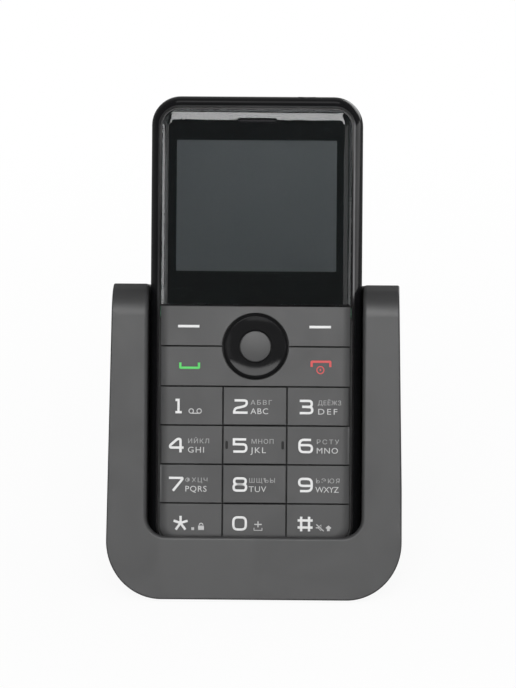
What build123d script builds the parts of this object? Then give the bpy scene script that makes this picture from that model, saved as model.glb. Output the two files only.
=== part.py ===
from build123d import *
import os
from math import asin, atan, cos, hypot, radians, sin, tan

# A keypad phone standing in its desk charging cradle.
# Millimetres, +Z up. The phone faces -Y and leans back in the cradle.
# Most pieces are drawn on planes parallel to the phone's face: x runs across,
# the drawing's y runs up the phone from its bottom end, and depths go into it.

# Driving sizes of the phone
lean_angle = 18.0
phone_width = 54.5
phone_length = 118.0
phone_depth = 13.5
corner_radius = 7.5
front_rounding = 5.2
back_rounding = 5.0
window_side_margin = 2.9
window_bottom = 3.1
window_top_margin = 3.5
window_corner_radius = 4.4
window_gap = 0.35
key_gap = 0.35
digit_row_pitch = 10.03
call_row_height = 10.34
soft_row_height = 10.65
digit_column_pitch = 16.5
ring_hole_radius = 8.64
ring_radius = 8.3
ok_hole_radius = 4.2
ok_radius = 3.95

# Depths of the layers under the face
key_thickness = 1.7
key_edge_radius = 0.15
key_travel = 0.3
mat_thickness = 0.6
nub_length = 0.7
dome_gap = 0.05
dome_height = 0.25
dome_sheet_thickness = 0.1
board_thickness = 1.0
lens_thickness = 1.3
glue_gap = 0.05
lcd_thickness = 1.4
parting_depth = 6.5
floor_thickness = 0.7
cover_split_depth = 9.5
cover_wall = 1.15
cover_clearance = 0.2
front_wall = 1.85
trim_width = 0.5
trim_proud = 0.12
trim_seat_depth = 1.7
fit_gap = 0.05
chin_height = 14.0

# Driving sizes of the cradle
foot_height = 0.8
cradle_proud = 2.0
phone_drop = 10.5
cradle_height = 75.3
cradle_depth = 60.0
cradle_side_margin = 10.99
cradle_side_slope = 0.018
cradle_wall = 2.0
cradle_top_rounding = 7.5
cradle_bottom_rounding = 14.2
cradle_edge_rounding = 0.4
cradle_back_margin = 5.7
pocket_gap = 0.4
seat_gap = 0.1
lip_height = 4.7
overrun = 5.0

# Where the leaning front would meet the cradle's underside if its lower edge weren't rounded
lean = radians(lean_angle)
cradle_half_width = phone_width / 2 + cradle_side_margin
front_foot = -cradle_depth / 2 - cradle_edge_rounding * ((1 + sin(lean)) / cos(lean) - 1)

# Planes: the face plane sits at the bottom end of the phone's front
phone_z = foot_height + phone_drop
phone_y = front_foot + phone_drop * tan(lean) + cradle_proud / cos(lean)

# The cradle's back runs from a margin behind the pocket's mouth, at the top, down
# to the rounding of its bottom edge
pocket_back = phone_y + (cradle_height - phone_z) * tan(lean) + (phone_depth + pocket_gap) / cos(lean)
rear_top = pocket_back + cradle_back_margin
rear_run = rear_top - cradle_depth / 2 + cradle_bottom_rounding
rear_rise = cradle_height - foot_height - cradle_bottom_rounding
rear_lean = asin(cradle_bottom_rounding / hypot(rear_run, rear_rise)) - atan(rear_run / rear_rise)
rear_slope = tan(rear_lean)
rear_foot = rear_top + rear_slope * (cradle_height - foot_height)
face = Plane(origin=(0, phone_y, phone_z), x_dir=(1, 0, 0), z_dir=(0, -cos(lean), sin(lean)))
out_of_face = Axis(face.origin, face.z_dir)
up_phone = Axis(face.origin, face.y_dir)
across = Axis(face.origin, face.x_dir)


# The plane at a depth under the face
def under_face(depth):
    return face.offset(-depth)


# A plane square to the phone's length: its y is the depth behind the face
def across_phone(height):
    return Plane(origin=face.from_local_coords((0, height, 0)), x_dir=(1, 0, 0), z_dir=face.y_dir)


# A plate parallel to the face, from one depth to a deeper one
def plate(top, bottom, width, height, x=0, v=0, corner=0, mode=Mode.ADD):
    with BuildSketch(under_face(top)) as outline:
        with Locations((x, v)):
            if corner > 0:
                RectangleRounded(width, height, corner)
            else:
                Rectangle(width, height)
    extrude(outline.sketch, amount=top - bottom, mode=mode)


# A round peg or hole square to the face
def peg(top, bottom, radius, places, mode=Mode.ADD):
    with BuildSketch(under_face(top)) as outline:
        with Locations(*places):
            Circle(radius)
    extrude(outline.sketch, amount=top - bottom, mode=mode)


# A rounded block along the phone's length, between two heights
def bar(low, high, width, thickness, x, depth, corner=0, mode=Mode.ADD):
    with BuildSketch(across_phone(low)) as outline:
        with Locations((x, depth)):
            if corner > 0:
                RectangleRounded(width, thickness, corner)
            else:
                Rectangle(width, thickness)
    extrude(outline.sketch, amount=high - low, mode=mode)


# The whole outside form of the phone, drawn in by an inset
def phone_form(inset):
    with BuildPart() as form:
        with BuildSketch(under_face(inset)):
            with Locations((0, phone_length / 2)):
                RectangleRounded(
                    phone_width - 2 * inset, phone_length - 2 * inset, corner_radius - inset
                )
        extrude(amount=2 * inset - phone_depth)
        fillet(form.faces().sort_by(out_of_face)[-1].edges(), front_rounding - inset)
        fillet(form.faces().sort_by(out_of_face)[0].edges(), back_rounding - inset)
    return form.part


# The rounded outline of the window, grown on all sides
def window_outline(grow, mode=Mode.ADD):
    with Locations((0, window_middle)):
        RectangleRounded(
            window_width + 2 * grow, window_length + 2 * grow, window_corner_radius + grow, mode=mode
        )


# The edges round the top of a cap, where upright sides meet the crowned face
def rim_edges(cap, thickness):
    upright = cap.faces().filter_by(lambda side: abs(side.normal_at().dot(face.z_dir)) < upright_share)
    return upright.edges().filter_by_position(out_of_face, -thickness * rim_share, overrun)


upright_share = 0.05
rim_share = 0.45

# Heights of the lines between the rows, up from the phone's bottom end
window_width = phone_width - 2 * window_side_margin
window_length = phone_length - window_bottom - window_top_margin
window_middle = window_bottom + window_length / 2
window_top = window_bottom + window_length
digit_rows = 4
digit_columns = 3
digits_top = window_bottom + digit_rows * digit_row_pitch
call_top = digits_top + call_row_height
keys_top = call_top + soft_row_height
ring_middle = call_top

# Depths worked out from the stack
mat_top = key_thickness + key_travel + fit_gap
mat_bottom = mat_top + mat_thickness
nub_tip = mat_bottom + nub_length
dome_top = nub_tip + dome_gap
sheet_top = dome_top + dome_height
board_top = sheet_top + dome_sheet_thickness
board_bottom = board_top + board_thickness
shelf_top = lens_thickness + glue_gap
ledge_bottom = mat_top - fit_gap
lcd_top = ledge_bottom + fit_gap
lcd_bottom = lcd_top + lcd_thickness
floor_bottom = parting_depth + floor_thickness
inner_back = phone_depth - cover_wall - cover_clearance

phone_block = phone_form(0)
raised_block = phone_form(-trim_proud)
cover_inside = phone_form(cover_wall)
inner_block = phone_form(cover_wall + cover_clearance)

# Display: the screen and its panel fill the room between the keys and the earpiece
screen_width = 41.2
screen_top_margin = 7.9
screen_foot_margin = 8.69
screen_high = window_top - screen_top_margin
screen_low = keys_top + screen_foot_margin
screen_height = screen_high - screen_low
screen_middle = (screen_high + screen_low) / 2
lcd_side_margin = 0.6
lcd_foot_margin = 5.94
lcd_top_gap = 0.75
lcd_width = screen_width + 2 * lcd_side_margin
screen_opening_margin = 0.4

# Earpiece slot in the lens
slot_width = 10.1
slot_height = 1.3
slot_margin = 2.8
slot_middle = window_top - slot_margin
earpiece_width = 12.0
earpiece_height = 6.0
earpiece_thickness = 2.4
earpiece_drop = 0.6
earpiece_middle = slot_middle - earpiece_drop
lcd_low = keys_top + lcd_foot_margin
lcd_high = earpiece_middle - earpiece_height / 2 - lcd_top_gap
lcd_height = lcd_high - lcd_low
lcd_middle = (lcd_high + lcd_low) / 2

# Screws that hold the two halves of the housing together
screw_inset = 3.6
screw_x = phone_width / 2 - screw_inset
screw_low = 20.5
screw_top_margin = 18.5
screw_high = phone_length - screw_top_margin
screw_places = [(x, v) for x in (-screw_x, screw_x) for v in (screw_low, screw_high)]
screw_radius = 0.7
screw_head_radius = 1.35
screw_head_height = 0.8
screw_seat_depth = 8.6
screw_tip_depth = 3.2
boss_radius = 1.9
boss_clearance = 0.35

# Battery and its bay
battery_width = 36.0
battery_top_margin = 20.0
battery_gap = 0.3
battery_bottom = 43.0
battery_length = phone_length - battery_top_margin - battery_bottom
battery_middle = battery_bottom + battery_length / 2
battery_corner = 1.5

# Headset socket in the top end
jack_x = 12.7
jack_depth = 6.5
jack_radius = 1.8
jack_wall = 0.8
jack_length = 14.0
jack_bottom = phone_length - jack_length

# Plug socket and charging contacts in the bottom end
usb_width = 7.6
usb_height = 2.5
usb_length = 5.2
usb_inset = 0.5
usb_wall = 0.3
usb_tongue = 0.7
usb_depth = board_bottom + usb_height / 2
pad_x = 8.5
pad_depth = 9.4
pad_width = 3.0
pad_height = 2.4
pad_recess = 0.7
pad_thickness = 0.4

# Front housing: shell with the window, the lens shelf and the screw bosses
front_opening_grow = window_gap + trim_width
shelf_foot = keys_top + key_gap / 2 - window_gap / 2
with BuildPart() as front_housing:
    add(phone_block)
    split(bisect_by=under_face(parting_depth), keep=Keep.TOP)
    with BuildSketch(under_face(-overrun)):
        window_outline(front_opening_grow)
    extrude(amount=-overrun - trim_seat_depth, mode=Mode.SUBTRACT)
    with BuildSketch(under_face(-overrun)):
        window_outline(window_gap)
    extrude(amount=-overrun - ledge_bottom, mode=Mode.SUBTRACT)
    with BuildSketch(under_face(ledge_bottom)):
        with Locations((0, phone_length / 2)):
            RectangleRounded(
                phone_width - 2 * front_wall, phone_length - 2 * front_wall, corner_radius - front_wall
            )
    extrude(amount=ledge_bottom - parting_depth, mode=Mode.SUBTRACT)
    with BuildSketch(under_face(shelf_top)):
        window_outline(window_gap)
        with Locations((0, shelf_foot - phone_length / 2)):
            Rectangle(phone_width, phone_length, mode=Mode.SUBTRACT)
    extrude(amount=shelf_top - ledge_bottom)
    plate(
        shelf_top - overrun,
        ledge_bottom + overrun,
        screen_width + 2 * screen_opening_margin,
        screen_height + 2 * screen_opening_margin,
        0,
        screen_middle,
        screen_opening_margin,
        Mode.SUBTRACT,
    )
    plate(
        shelf_top - overrun, ledge_bottom + overrun, slot_width, slot_height, 0, slot_middle, 0, Mode.SUBTRACT
    )
    peg(mat_bottom + fit_gap, parting_depth, boss_radius, screw_places)
    add(phone_block, mode=Mode.INTERSECT)
    peg(screw_tip_depth, parting_depth, screw_radius + fit_gap / 2, screw_places, Mode.SUBTRACT)
    bar(-overrun, front_wall + overrun, usb_width + 2 * fit_gap, usb_height + 2 * fit_gap, 0, usb_depth, 0,
        Mode.SUBTRACT)
    with BuildSketch(across_phone(jack_bottom)):
        with Locations((jack_x, jack_depth)):
            Circle(jack_radius + jack_wall + fit_gap)
    extrude(amount=jack_length + overrun, mode=Mode.SUBTRACT)
front_housing.part.label = "front_housing"

# Bezel trim: the thin bright ring round the lens and the keys
with BuildPart() as bezel_trim:
    with BuildSketch(under_face(-overrun)):
        window_outline(front_opening_grow - fit_gap / 2)
        window_outline(window_gap + fit_gap / 2, Mode.SUBTRACT)
    extrude(amount=-overrun - trim_seat_depth)
    add(raised_block, mode=Mode.INTERSECT)
bezel_trim.part.label = "bezel_trim"

# Display lens: one clear crowned pane over the screen and the earpiece
with BuildPart() as display_lens:
    with BuildSketch(under_face(-overrun)):
        window_outline(0)
        with Locations((0, keys_top + key_gap / 2 - phone_length / 2)):
            Rectangle(phone_width, phone_length, mode=Mode.SUBTRACT)
        with Locations((0, slot_middle)):
            SlotOverall(slot_width, slot_height, mode=Mode.SUBTRACT)
    extrude(amount=-overrun - lens_thickness)
    add(phone_block, mode=Mode.INTERSECT)
    fillet(rim_edges(display_lens.part, lens_thickness), key_edge_radius)
display_lens.part.label = "display_lens"

# Fine mesh behind the earpiece slot
mesh_margin = 0.6
mesh_thickness = 0.2
mesh_bar = 0.25
mesh_pitch = 0.6
mesh_columns = 17
mesh_rows = 3
with BuildPart() as earpiece_mesh:
    plate(ledge_bottom, ledge_bottom + mesh_thickness, slot_width + 2 * mesh_margin,
          slot_height + 2 * mesh_margin, 0, slot_middle)
    with BuildSketch(under_face(ledge_bottom)) as mesh_holes:
        with Locations((0, slot_middle)):
            with GridLocations(mesh_pitch, mesh_pitch, mesh_columns, mesh_rows):
                Rectangle(mesh_pitch - mesh_bar, mesh_pitch - mesh_bar)
    extrude(mesh_holes.sketch, amount=-mesh_thickness, mode=Mode.SUBTRACT)
earpiece_mesh.part.label = "earpiece_mesh"

# Earpiece: the small round-cornered speaker behind the mesh
earpiece_corner = 1.2
earpiece_top = ledge_bottom + mesh_thickness
cone_width = 9.0
cone_height = 3.6
cone_dish = 0.3
with BuildPart() as earpiece:
    plate(earpiece_top, earpiece_top + earpiece_thickness, earpiece_width, earpiece_height, 0,
          earpiece_middle, earpiece_corner)
    plate(earpiece_top, earpiece_top + cone_dish, cone_width, cone_height, 0, earpiece_middle,
          earpiece_corner, Mode.SUBTRACT)
earpiece.part.label = "earpiece"

# Display module: the glass panel behind the lens
lcd_corner = 0.6
with BuildPart() as display_module:
    plate(lcd_top, lcd_bottom, lcd_width, lcd_height, 0, lcd_middle, lcd_corner)
display_module.part.label = "display_module"

# Display frame: the tray that carries the panel on the board
tray_margin = 0.3
tray_lip = 0.6
tray_wall = 0.3
tray_length = lcd_height + 2 * (tray_wall + fit_gap)
with BuildPart() as display_frame:
    plate(lcd_bottom, board_top, lcd_width + 2 * tray_margin, tray_length, 0, lcd_middle, lcd_corner)
    for end in (-1, 1):
        plate(lcd_bottom - tray_lip, lcd_bottom, lcd_width / 2, tray_wall, 0,
              lcd_middle + end * (tray_length - tray_wall) / 2)
display_frame.part.label = "display_frame"

# Main board, with notches for the bosses, the earpiece and the headset socket
board_inset = 2.35
board_low = 2.4
board_top_margin = 10.8
board_high = phone_length - board_top_margin
board_corner = 5.2
jack_width = 6.4
jack_half_depth = 2.6
with BuildPart() as main_board:
    plate(board_top, board_bottom, phone_width - 2 * board_inset, board_high - board_low, 0,
          (board_high + board_low) / 2, board_corner)
    peg(board_top - overrun, board_bottom + overrun, boss_radius + boss_clearance, screw_places,
        Mode.SUBTRACT)
    plate(board_top - overrun, board_bottom + overrun, jack_width + 2 * fit_gap,
          2 * (board_high - jack_bottom + fit_gap), jack_x, board_high, 0, Mode.SUBTRACT)
main_board.part.label = "main_board"

# Display flex: the ribbon that folds from the panel round to the board's connector
flex_width = 16.0
flex_thickness = 0.12
flex_length = 5.2
flex_connector_width = 18.0
flex_connector_length = 2.6
flex_connector_height = 0.9
flex_start = lcd_middle - tray_length / 2
with BuildPart() as display_flex:
    plate(board_top - flex_thickness - fit_gap, board_top - fit_gap, flex_width, flex_length, 0,
          flex_start - fit_gap - flex_length / 2)
    plate(board_top - flex_connector_height, board_top, flex_connector_width, flex_connector_length, 0,
          flex_start - fit_gap - flex_length + flex_connector_length / 2)
display_flex.part.label = "display_flex"

# Key bars: soft keys above the ring, call and end keys below it, each one rocking cap
# Each bar is cut round the ring
def key_bar(low, high):
    with BuildSketch(under_face(-overrun)) as outline:
        with Locations((0, (low + high) / 2)):
            Rectangle(window_width + key_gap, high - low - key_gap)
        window_outline(0, Mode.INTERSECT)
        with Locations((0, ring_middle)):
            Circle(ring_hole_radius, mode=Mode.SUBTRACT)
    extrude(outline.sketch, amount=-overrun - key_thickness)
    add(phone_block, mode=Mode.INTERSECT)


with BuildPart() as soft_key_bar:
    key_bar(call_top, keys_top)
    fillet(rim_edges(soft_key_bar.part, key_thickness), key_edge_radius)
soft_key_bar.part.label = "soft_key_bar"

with BuildPart() as call_key_bar:
    key_bar(digits_top, call_top)
    fillet(rim_edges(call_key_bar.part, key_thickness), key_edge_radius)
call_key_bar.part.label = "call_key_bar"

# Navigation ring: a crowned ring on two small feet over its carrier
ring_thickness = 1.2
ring_crown = 0.35
ring_foot_radius = 0.4
ring_foot_reach = 5.2
carrier_gap = 0.25
carrier_thickness = 0.25
carrier_inner = 4.6
carrier_outer = 5.8
foot_gap = 0.05
ring_plane = Plane(
    origin=face.from_local_coords((0, ring_middle, 0)), x_dir=(1, 0, 0), z_dir=-face.y_dir
)
with BuildPart() as nav_ring:
    with BuildSketch(ring_plane):
        with BuildLine():
            ring_inner_foot = (ok_hole_radius, -ring_thickness)
            ring_outer_foot = (ring_radius, -ring_thickness)
            ring_inner_edge = (ok_hole_radius, -ring_crown)
            ring_outer_edge = (ring_radius, -ring_crown)
            ring_summit = ((ok_hole_radius + ring_radius) / 2, 0)
            Line(ring_inner_foot, ring_outer_foot)
            Line(ring_outer_foot, ring_outer_edge)
            ThreePointArc(ring_outer_edge, ring_summit, ring_inner_edge)
            Line(ring_inner_edge, ring_inner_foot)
        make_face()
    revolve(axis=Axis(ring_plane.origin, face.z_dir))
    peg(ring_thickness, ring_thickness + carrier_gap - foot_gap, ring_foot_radius,
        [(0, ring_middle - ring_foot_reach), (0, ring_middle + ring_foot_reach)])
nav_ring.part.label = "nav_ring"

# Ring carrier: the thin annulus that rocks on feet set across the ring's own
carrier_top = ring_thickness + carrier_gap
carrier_bottom = carrier_top + carrier_thickness
with BuildPart() as nav_carrier:
    peg(carrier_top, carrier_bottom, carrier_outer, [(0, ring_middle)])
    peg(carrier_top, carrier_bottom, carrier_inner, [(0, ring_middle)], Mode.SUBTRACT)
    peg(carrier_bottom, mat_top - foot_gap, ring_foot_radius,
        [(-ring_foot_reach, ring_middle), (ring_foot_reach, ring_middle)])
nav_carrier.part.label = "nav_carrier"

# Centre key: a low dome inside the ring
ok_dome = 0.35
with BuildPart() as ok_key:
    with BuildSketch(ring_plane):
        with BuildLine():
            Line((0, -key_thickness), (ok_radius, -key_thickness))
            Line((ok_radius, -key_thickness), (ok_radius, -ok_dome))
            RadiusArc((ok_radius, -ok_dome), (0, 0), -(ok_radius ** 2 + ok_dome ** 2) / (2 * ok_dome))
            Line((0, 0), (0, -key_thickness))
        make_face()
    revolve(axis=Axis(ring_plane.origin, face.z_dir))
ok_key.part.label = "ok_key"

# Digit keys: four rows of three, the outer ones crowned over the phone's edge
digit_names = (
    ("key_star", "key_0", "key_hash"),
    ("key_7", "key_8", "key_9"),
    ("key_4", "key_5", "key_6"),
    ("key_1", "key_2", "key_3"),
)
column_lines = (
    -(window_width + key_gap) / 2,
    -digit_column_pitch / 2,
    digit_column_pitch / 2,
    (window_width + key_gap) / 2,
)
tactile_bar_width = 0.5
tactile_bar_height = 2.1
tactile_bar_proud = 0.15
tactile_bar_reach = 7.2
tactile_bar_round_share = 0.45
digit_keys = []
for row in range(digit_rows):
    row_low = digits_top - (digit_rows - row) * digit_row_pitch
    row_drop = key_gap / 2 if row == 0 else 0
    for column in range(digit_columns):
        left = column_lines[column]
        right = column_lines[column + 1]
        with BuildPart() as key:
            with BuildSketch(under_face(-overrun)):
                with Locations(((left + right) / 2, row_low + (digit_row_pitch - row_drop) / 2)):
                    Rectangle(right - left - key_gap, digit_row_pitch + row_drop - key_gap)
                window_outline(0, Mode.INTERSECT)
            extrude(amount=-overrun - key_thickness)
            add(phone_block, mode=Mode.INTERSECT)
            fillet(rim_edges(key.part, key_thickness), key_edge_radius)
            if digit_names[row][column] == "key_5":
                for side in (-1, 1):
                    plate(-tactile_bar_proud, key_thickness / 2, tactile_bar_width, tactile_bar_height,
                          side * tactile_bar_reach, row_low + digit_row_pitch / 2,
                          tactile_bar_width * tactile_bar_round_share)
        key.part.label = digit_names[row][column]
        digit_keys.append(key)

# Keypad mat: one silicone sheet under all the keys, with a nub over every dome
mat_inset = 0.2
mat_width = phone_width - 2 * front_wall - 2 * mat_inset
mat_low = front_wall + mat_inset
mat_high = keys_top - key_gap
mat_corner = corner_radius - front_wall - mat_inset
nub_radius = 1.0
digit_places = [
    (column * digit_column_pitch, digits_top - (row + 1 / 2) * digit_row_pitch)
    for column in (-1, 0, 1)
    for row in range(digit_rows)
]
ring_reach = (ok_hole_radius + ring_radius) / 2
ring_places = [(0, ring_middle), (0, ring_middle - ring_reach), (0, ring_middle + ring_reach),
               (-ring_reach, ring_middle), (ring_reach, ring_middle)]
bar_reach_share = 0.7
bar_places = [
    (side * bar_reach_share * window_width / 2, height)
    for side in (-1, 1)
    for height in (digits_top + call_row_height / 2, call_top + soft_row_height / 2)
]
nub_places = digit_places + ring_places + bar_places
with BuildPart() as keypad_mat:
    plate(mat_top, mat_bottom, mat_width, mat_high - mat_low, 0, (mat_high + mat_low) / 2, mat_corner)
    peg(mat_bottom, nub_tip, nub_radius, nub_places)
keypad_mat.part.label = "keypad_mat"

# Dome sheet: a thin film with a low metal dome under every nub
dome_radius = 2.0
dome_top_radius = 1.1
sheet_width = 42.0
sheet_low = 4.6
sheet_corner = 3.0
with BuildPart() as dome_sheet:
    plate(sheet_top, board_top, sheet_width, mat_high - sheet_low, 0, (mat_high + sheet_low) / 2,
          sheet_corner)
    for x, v in nub_places:
        with BuildSketch(under_face(sheet_top)) as dome_foot:
            with Locations((x, v)):
                Circle(dome_radius)
        with BuildSketch(under_face(dome_top)) as dome_cap:
            with Locations((x, v)):
                Circle(dome_top_radius)
        loft([*dome_foot.sketch.faces(), *dome_cap.sketch.faces()])
dome_sheet.part.label = "dome_sheet"

# Shield cans: two folded lids over the circuits on the back of the board
can_wall = 0.25
can_height = 1.6
can_width = 34.0
lower_can_middle = 31.0
lower_can_length = 15.0
can_gap = 4.75
sim_length = 17.5
sim_inset = 15.0
sim_middle = battery_bottom + battery_length - sim_inset
upper_can_low = lower_can_middle + lower_can_length / 2 + can_gap
upper_can_high = sim_middle - sim_length / 2 - can_gap
can_places = (
    (0, lower_can_middle, lower_can_length),
    (0, (upper_can_high + upper_can_low) / 2, upper_can_high - upper_can_low),
)
with BuildPart() as shield_cans:
    for x, v, height in can_places:
        plate(board_bottom, board_bottom + can_height, can_width, height, x, v, can_wall * 2)
        plate(board_bottom, board_bottom + can_height - can_wall, can_width - 2 * can_wall,
              height - 2 * can_wall, x, v, can_wall, Mode.SUBTRACT)
shield_cans.part.label = "shield_cans"

# SIM holder: a shallow metal frame on the back of the board, under the battery
sim_width = 27.0
sim_height = 2.2
sim_wall = 0.4
sim_slot_width = 25.2
sim_slot_height = 1.0
with BuildPart() as sim_holder:
    plate(board_bottom, board_bottom + sim_height, sim_width, sim_length, 0, sim_middle, sim_wall)
    plate(board_bottom + sim_height - sim_wall - sim_slot_height, board_bottom + sim_height - sim_wall,
          sim_slot_width, sim_length, 0, sim_middle + sim_wall, 0, Mode.SUBTRACT)
    plate(board_bottom + sim_height - sim_wall, board_bottom + sim_height, sim_slot_width / 2,
          sim_length / 2, 0, sim_middle + sim_length / 4, 0, Mode.SUBTRACT)
sim_holder.part.label = "sim_holder"

# Microphone: a small can on the board near the bottom end
mic_radius = 2.0
mic_height = 1.4
mic_place = (-14.0, 7.5)
mic_hole_radius = 0.4
with BuildPart() as microphone:
    peg(board_bottom, board_bottom + mic_height, mic_radius, [mic_place])
    peg(board_bottom + mic_height / 2, board_bottom + mic_height, mic_hole_radius, [mic_place],
        Mode.SUBTRACT)
microphone.part.label = "microphone"

# Loudspeaker: a round-cornered box facing the slots in the cover
speaker_width = 20.0
speaker_length = 13.0
speaker_thickness = 3.4
speaker_x = 8.0
speaker_middle = 26.0
speaker_corner = 2.0
speaker_rim = 1.6
speaker_dish = 0.5
lower_pocket_back = 11.4
speaker_back = lower_pocket_back - fit_gap
with BuildPart() as loudspeaker:
    plate(speaker_back - speaker_thickness, speaker_back, speaker_width, speaker_length, speaker_x,
          speaker_middle, speaker_corner)
    plate(speaker_back - speaker_dish, speaker_back, speaker_width - 2 * speaker_rim,
          speaker_length - 2 * speaker_rim, speaker_x, speaker_middle, speaker_corner / 2, Mode.SUBTRACT)
loudspeaker.part.label = "loudspeaker"

# Vibration motor: a small can with a thin shaft, lying across the phone
motor_radius = 2.0
motor_length = 7.5
motor_x = -15.0
motor_middle = 21.0
motor_depth = 9.1
shaft_radius = 0.4
shaft_reach = 3.6
weight_length = 2.6
weight_gap = 0.5
weight_outer = 1.9
weight_hub = 0.9
weight_running_gap = 0.04
motor_plane = Plane(
    origin=face.from_local_coords((motor_x, motor_middle, -motor_depth)), x_dir=(0, 1, 0), z_dir=(1, 0, 0)
)
with BuildPart() as vibration_motor:
    with BuildSketch(motor_plane):
        Circle(motor_radius)
    extrude(amount=motor_length)
    with BuildSketch(motor_plane):
        Circle(shaft_radius)
    extrude(amount=-shaft_reach)
vibration_motor.part.label = "vibration_motor"

# Vibration weight: an off-centre half round that hangs from the shaft
with BuildPart() as vibration_weight:
    with BuildSketch(motor_plane.offset(-weight_gap)):
        Circle(weight_outer)
        with Locations((0, weight_outer)):
            Rectangle(2 * weight_outer, 2 * weight_outer, mode=Mode.SUBTRACT)
        Circle(weight_hub)
        Circle(shaft_radius + weight_running_gap, mode=Mode.SUBTRACT)
    extrude(amount=-weight_length)
vibration_weight.part.label = "vibration_weight"

# Battery: a flat round-edged pack with its contacts on the lower end
battery_top = floor_bottom + fit_gap
battery_edge = 0.6
with BuildPart() as battery:
    plate(battery_top, inner_back, battery_width, battery_length, 0, battery_middle, battery_corner)
    fillet(battery.edges().filter_by(out_of_face, reverse=True), battery_edge)
battery.part.label = "battery"

# Battery contacts: a small block with three sprung strips at the foot of the bay
contact_block_width = 14.0
contact_block_length = 2.4
contact_strip_width = 1.6
contact_strip_pitch = 3.6
contact_strip_count = 3
contact_strip_thickness = 0.2
contacts_top = board_bottom
contacts_back = 10.4
contacts_middle = battery_bottom - battery_gap - contact_block_length / 2 - 2 * contact_strip_thickness
with BuildPart() as battery_contacts:
    plate(contacts_top, contacts_back, contact_block_width, contact_block_length, 0, contacts_middle)
    for strip in range(contact_strip_count):
        strip_x = (strip - (contact_strip_count - 1) / 2) * contact_strip_pitch
        plate((contacts_top + contacts_back) / 2, contacts_back, contact_strip_width,
              contact_strip_thickness, strip_x,
              contacts_middle + contact_block_length / 2 + contact_strip_thickness / 2)
battery_contacts.part.label = "battery_contacts"

# Plug socket in the bottom end: a metal sleeve with a tongue
with BuildPart() as usb_socket:
    bar(usb_inset, usb_inset + usb_length, usb_width, usb_height, 0, usb_depth, usb_wall)
    bar(usb_inset, usb_inset + usb_length - usb_wall, usb_width - 2 * usb_wall, usb_height - 2 * usb_wall,
        0, usb_depth, usb_wall / 2, Mode.SUBTRACT)
    bar(usb_inset + usb_wall, usb_inset + usb_length, usb_width / 2, usb_tongue, 0, usb_depth)
usb_socket.part.label = "usb_socket"

# Headset socket: a block on the board with a collar that shows in the top end
with BuildPart() as headset_jack:
    bar(jack_bottom, phone_length - front_wall - fit_gap, jack_width, 2 * jack_half_depth, jack_x, jack_depth)
    with BuildSketch(across_phone(jack_bottom)) as collar:
        with Locations((jack_x, jack_depth)):
            Circle(jack_radius + jack_wall)
    extrude(collar.sketch, amount=jack_length)
    add(phone_block, mode=Mode.INTERSECT)
    with BuildSketch(across_phone(jack_bottom)) as jack_bore:
        with Locations((jack_x, jack_depth)):
            Circle(jack_radius)
    extrude(jack_bore.sketch, amount=jack_length + overrun, mode=Mode.SUBTRACT)
headset_jack.part.label = "headset_jack"

# Charging pads: two plates in wells in the bottom end, each on a leg to the board
pad_leg_width = 1.2
pad_leg_length = 1.6
with BuildPart() as charging_pads:
    for side in (-1, 1):
        bar(pad_recess, pad_recess + pad_thickness, pad_width, pad_height, side * pad_x, pad_depth)
        bar(pad_recess + pad_thickness, pad_recess + pad_leg_length + pad_thickness, pad_leg_width,
            contact_strip_thickness, side * pad_x, pad_depth)
        plate(board_bottom, pad_depth, pad_leg_width, contact_strip_thickness, side * pad_x,
              pad_recess + pad_leg_length + pad_thickness + contact_strip_thickness / 2)
charging_pads.part.label = "charging_pads"

# Antenna: a plastic carrier with a folded metal strip, in the top end
antenna_width = 24.0
antenna_length = 6.4
antenna_thickness = 3.2
antenna_x = -10.5
antenna_strip = 1.4
antenna_relief = 0.3
antenna_middle = board_high + fit_gap + antenna_length / 2 + antenna_relief
antenna_top = earpiece_top + earpiece_thickness + fit_gap
with BuildPart() as antenna:
    plate(antenna_top, antenna_top + antenna_thickness, antenna_width, antenna_length, antenna_x,
          antenna_middle, antenna_strip)
    for end in (-1, 1):
        plate(antenna_top + antenna_thickness - antenna_relief, antenna_top + antenna_thickness,
              antenna_width - 2 * antenna_strip, antenna_relief, antenna_x,
              antenna_middle + end * antenna_strip, 0, Mode.SUBTRACT)
antenna.part.label = "antenna"

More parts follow.
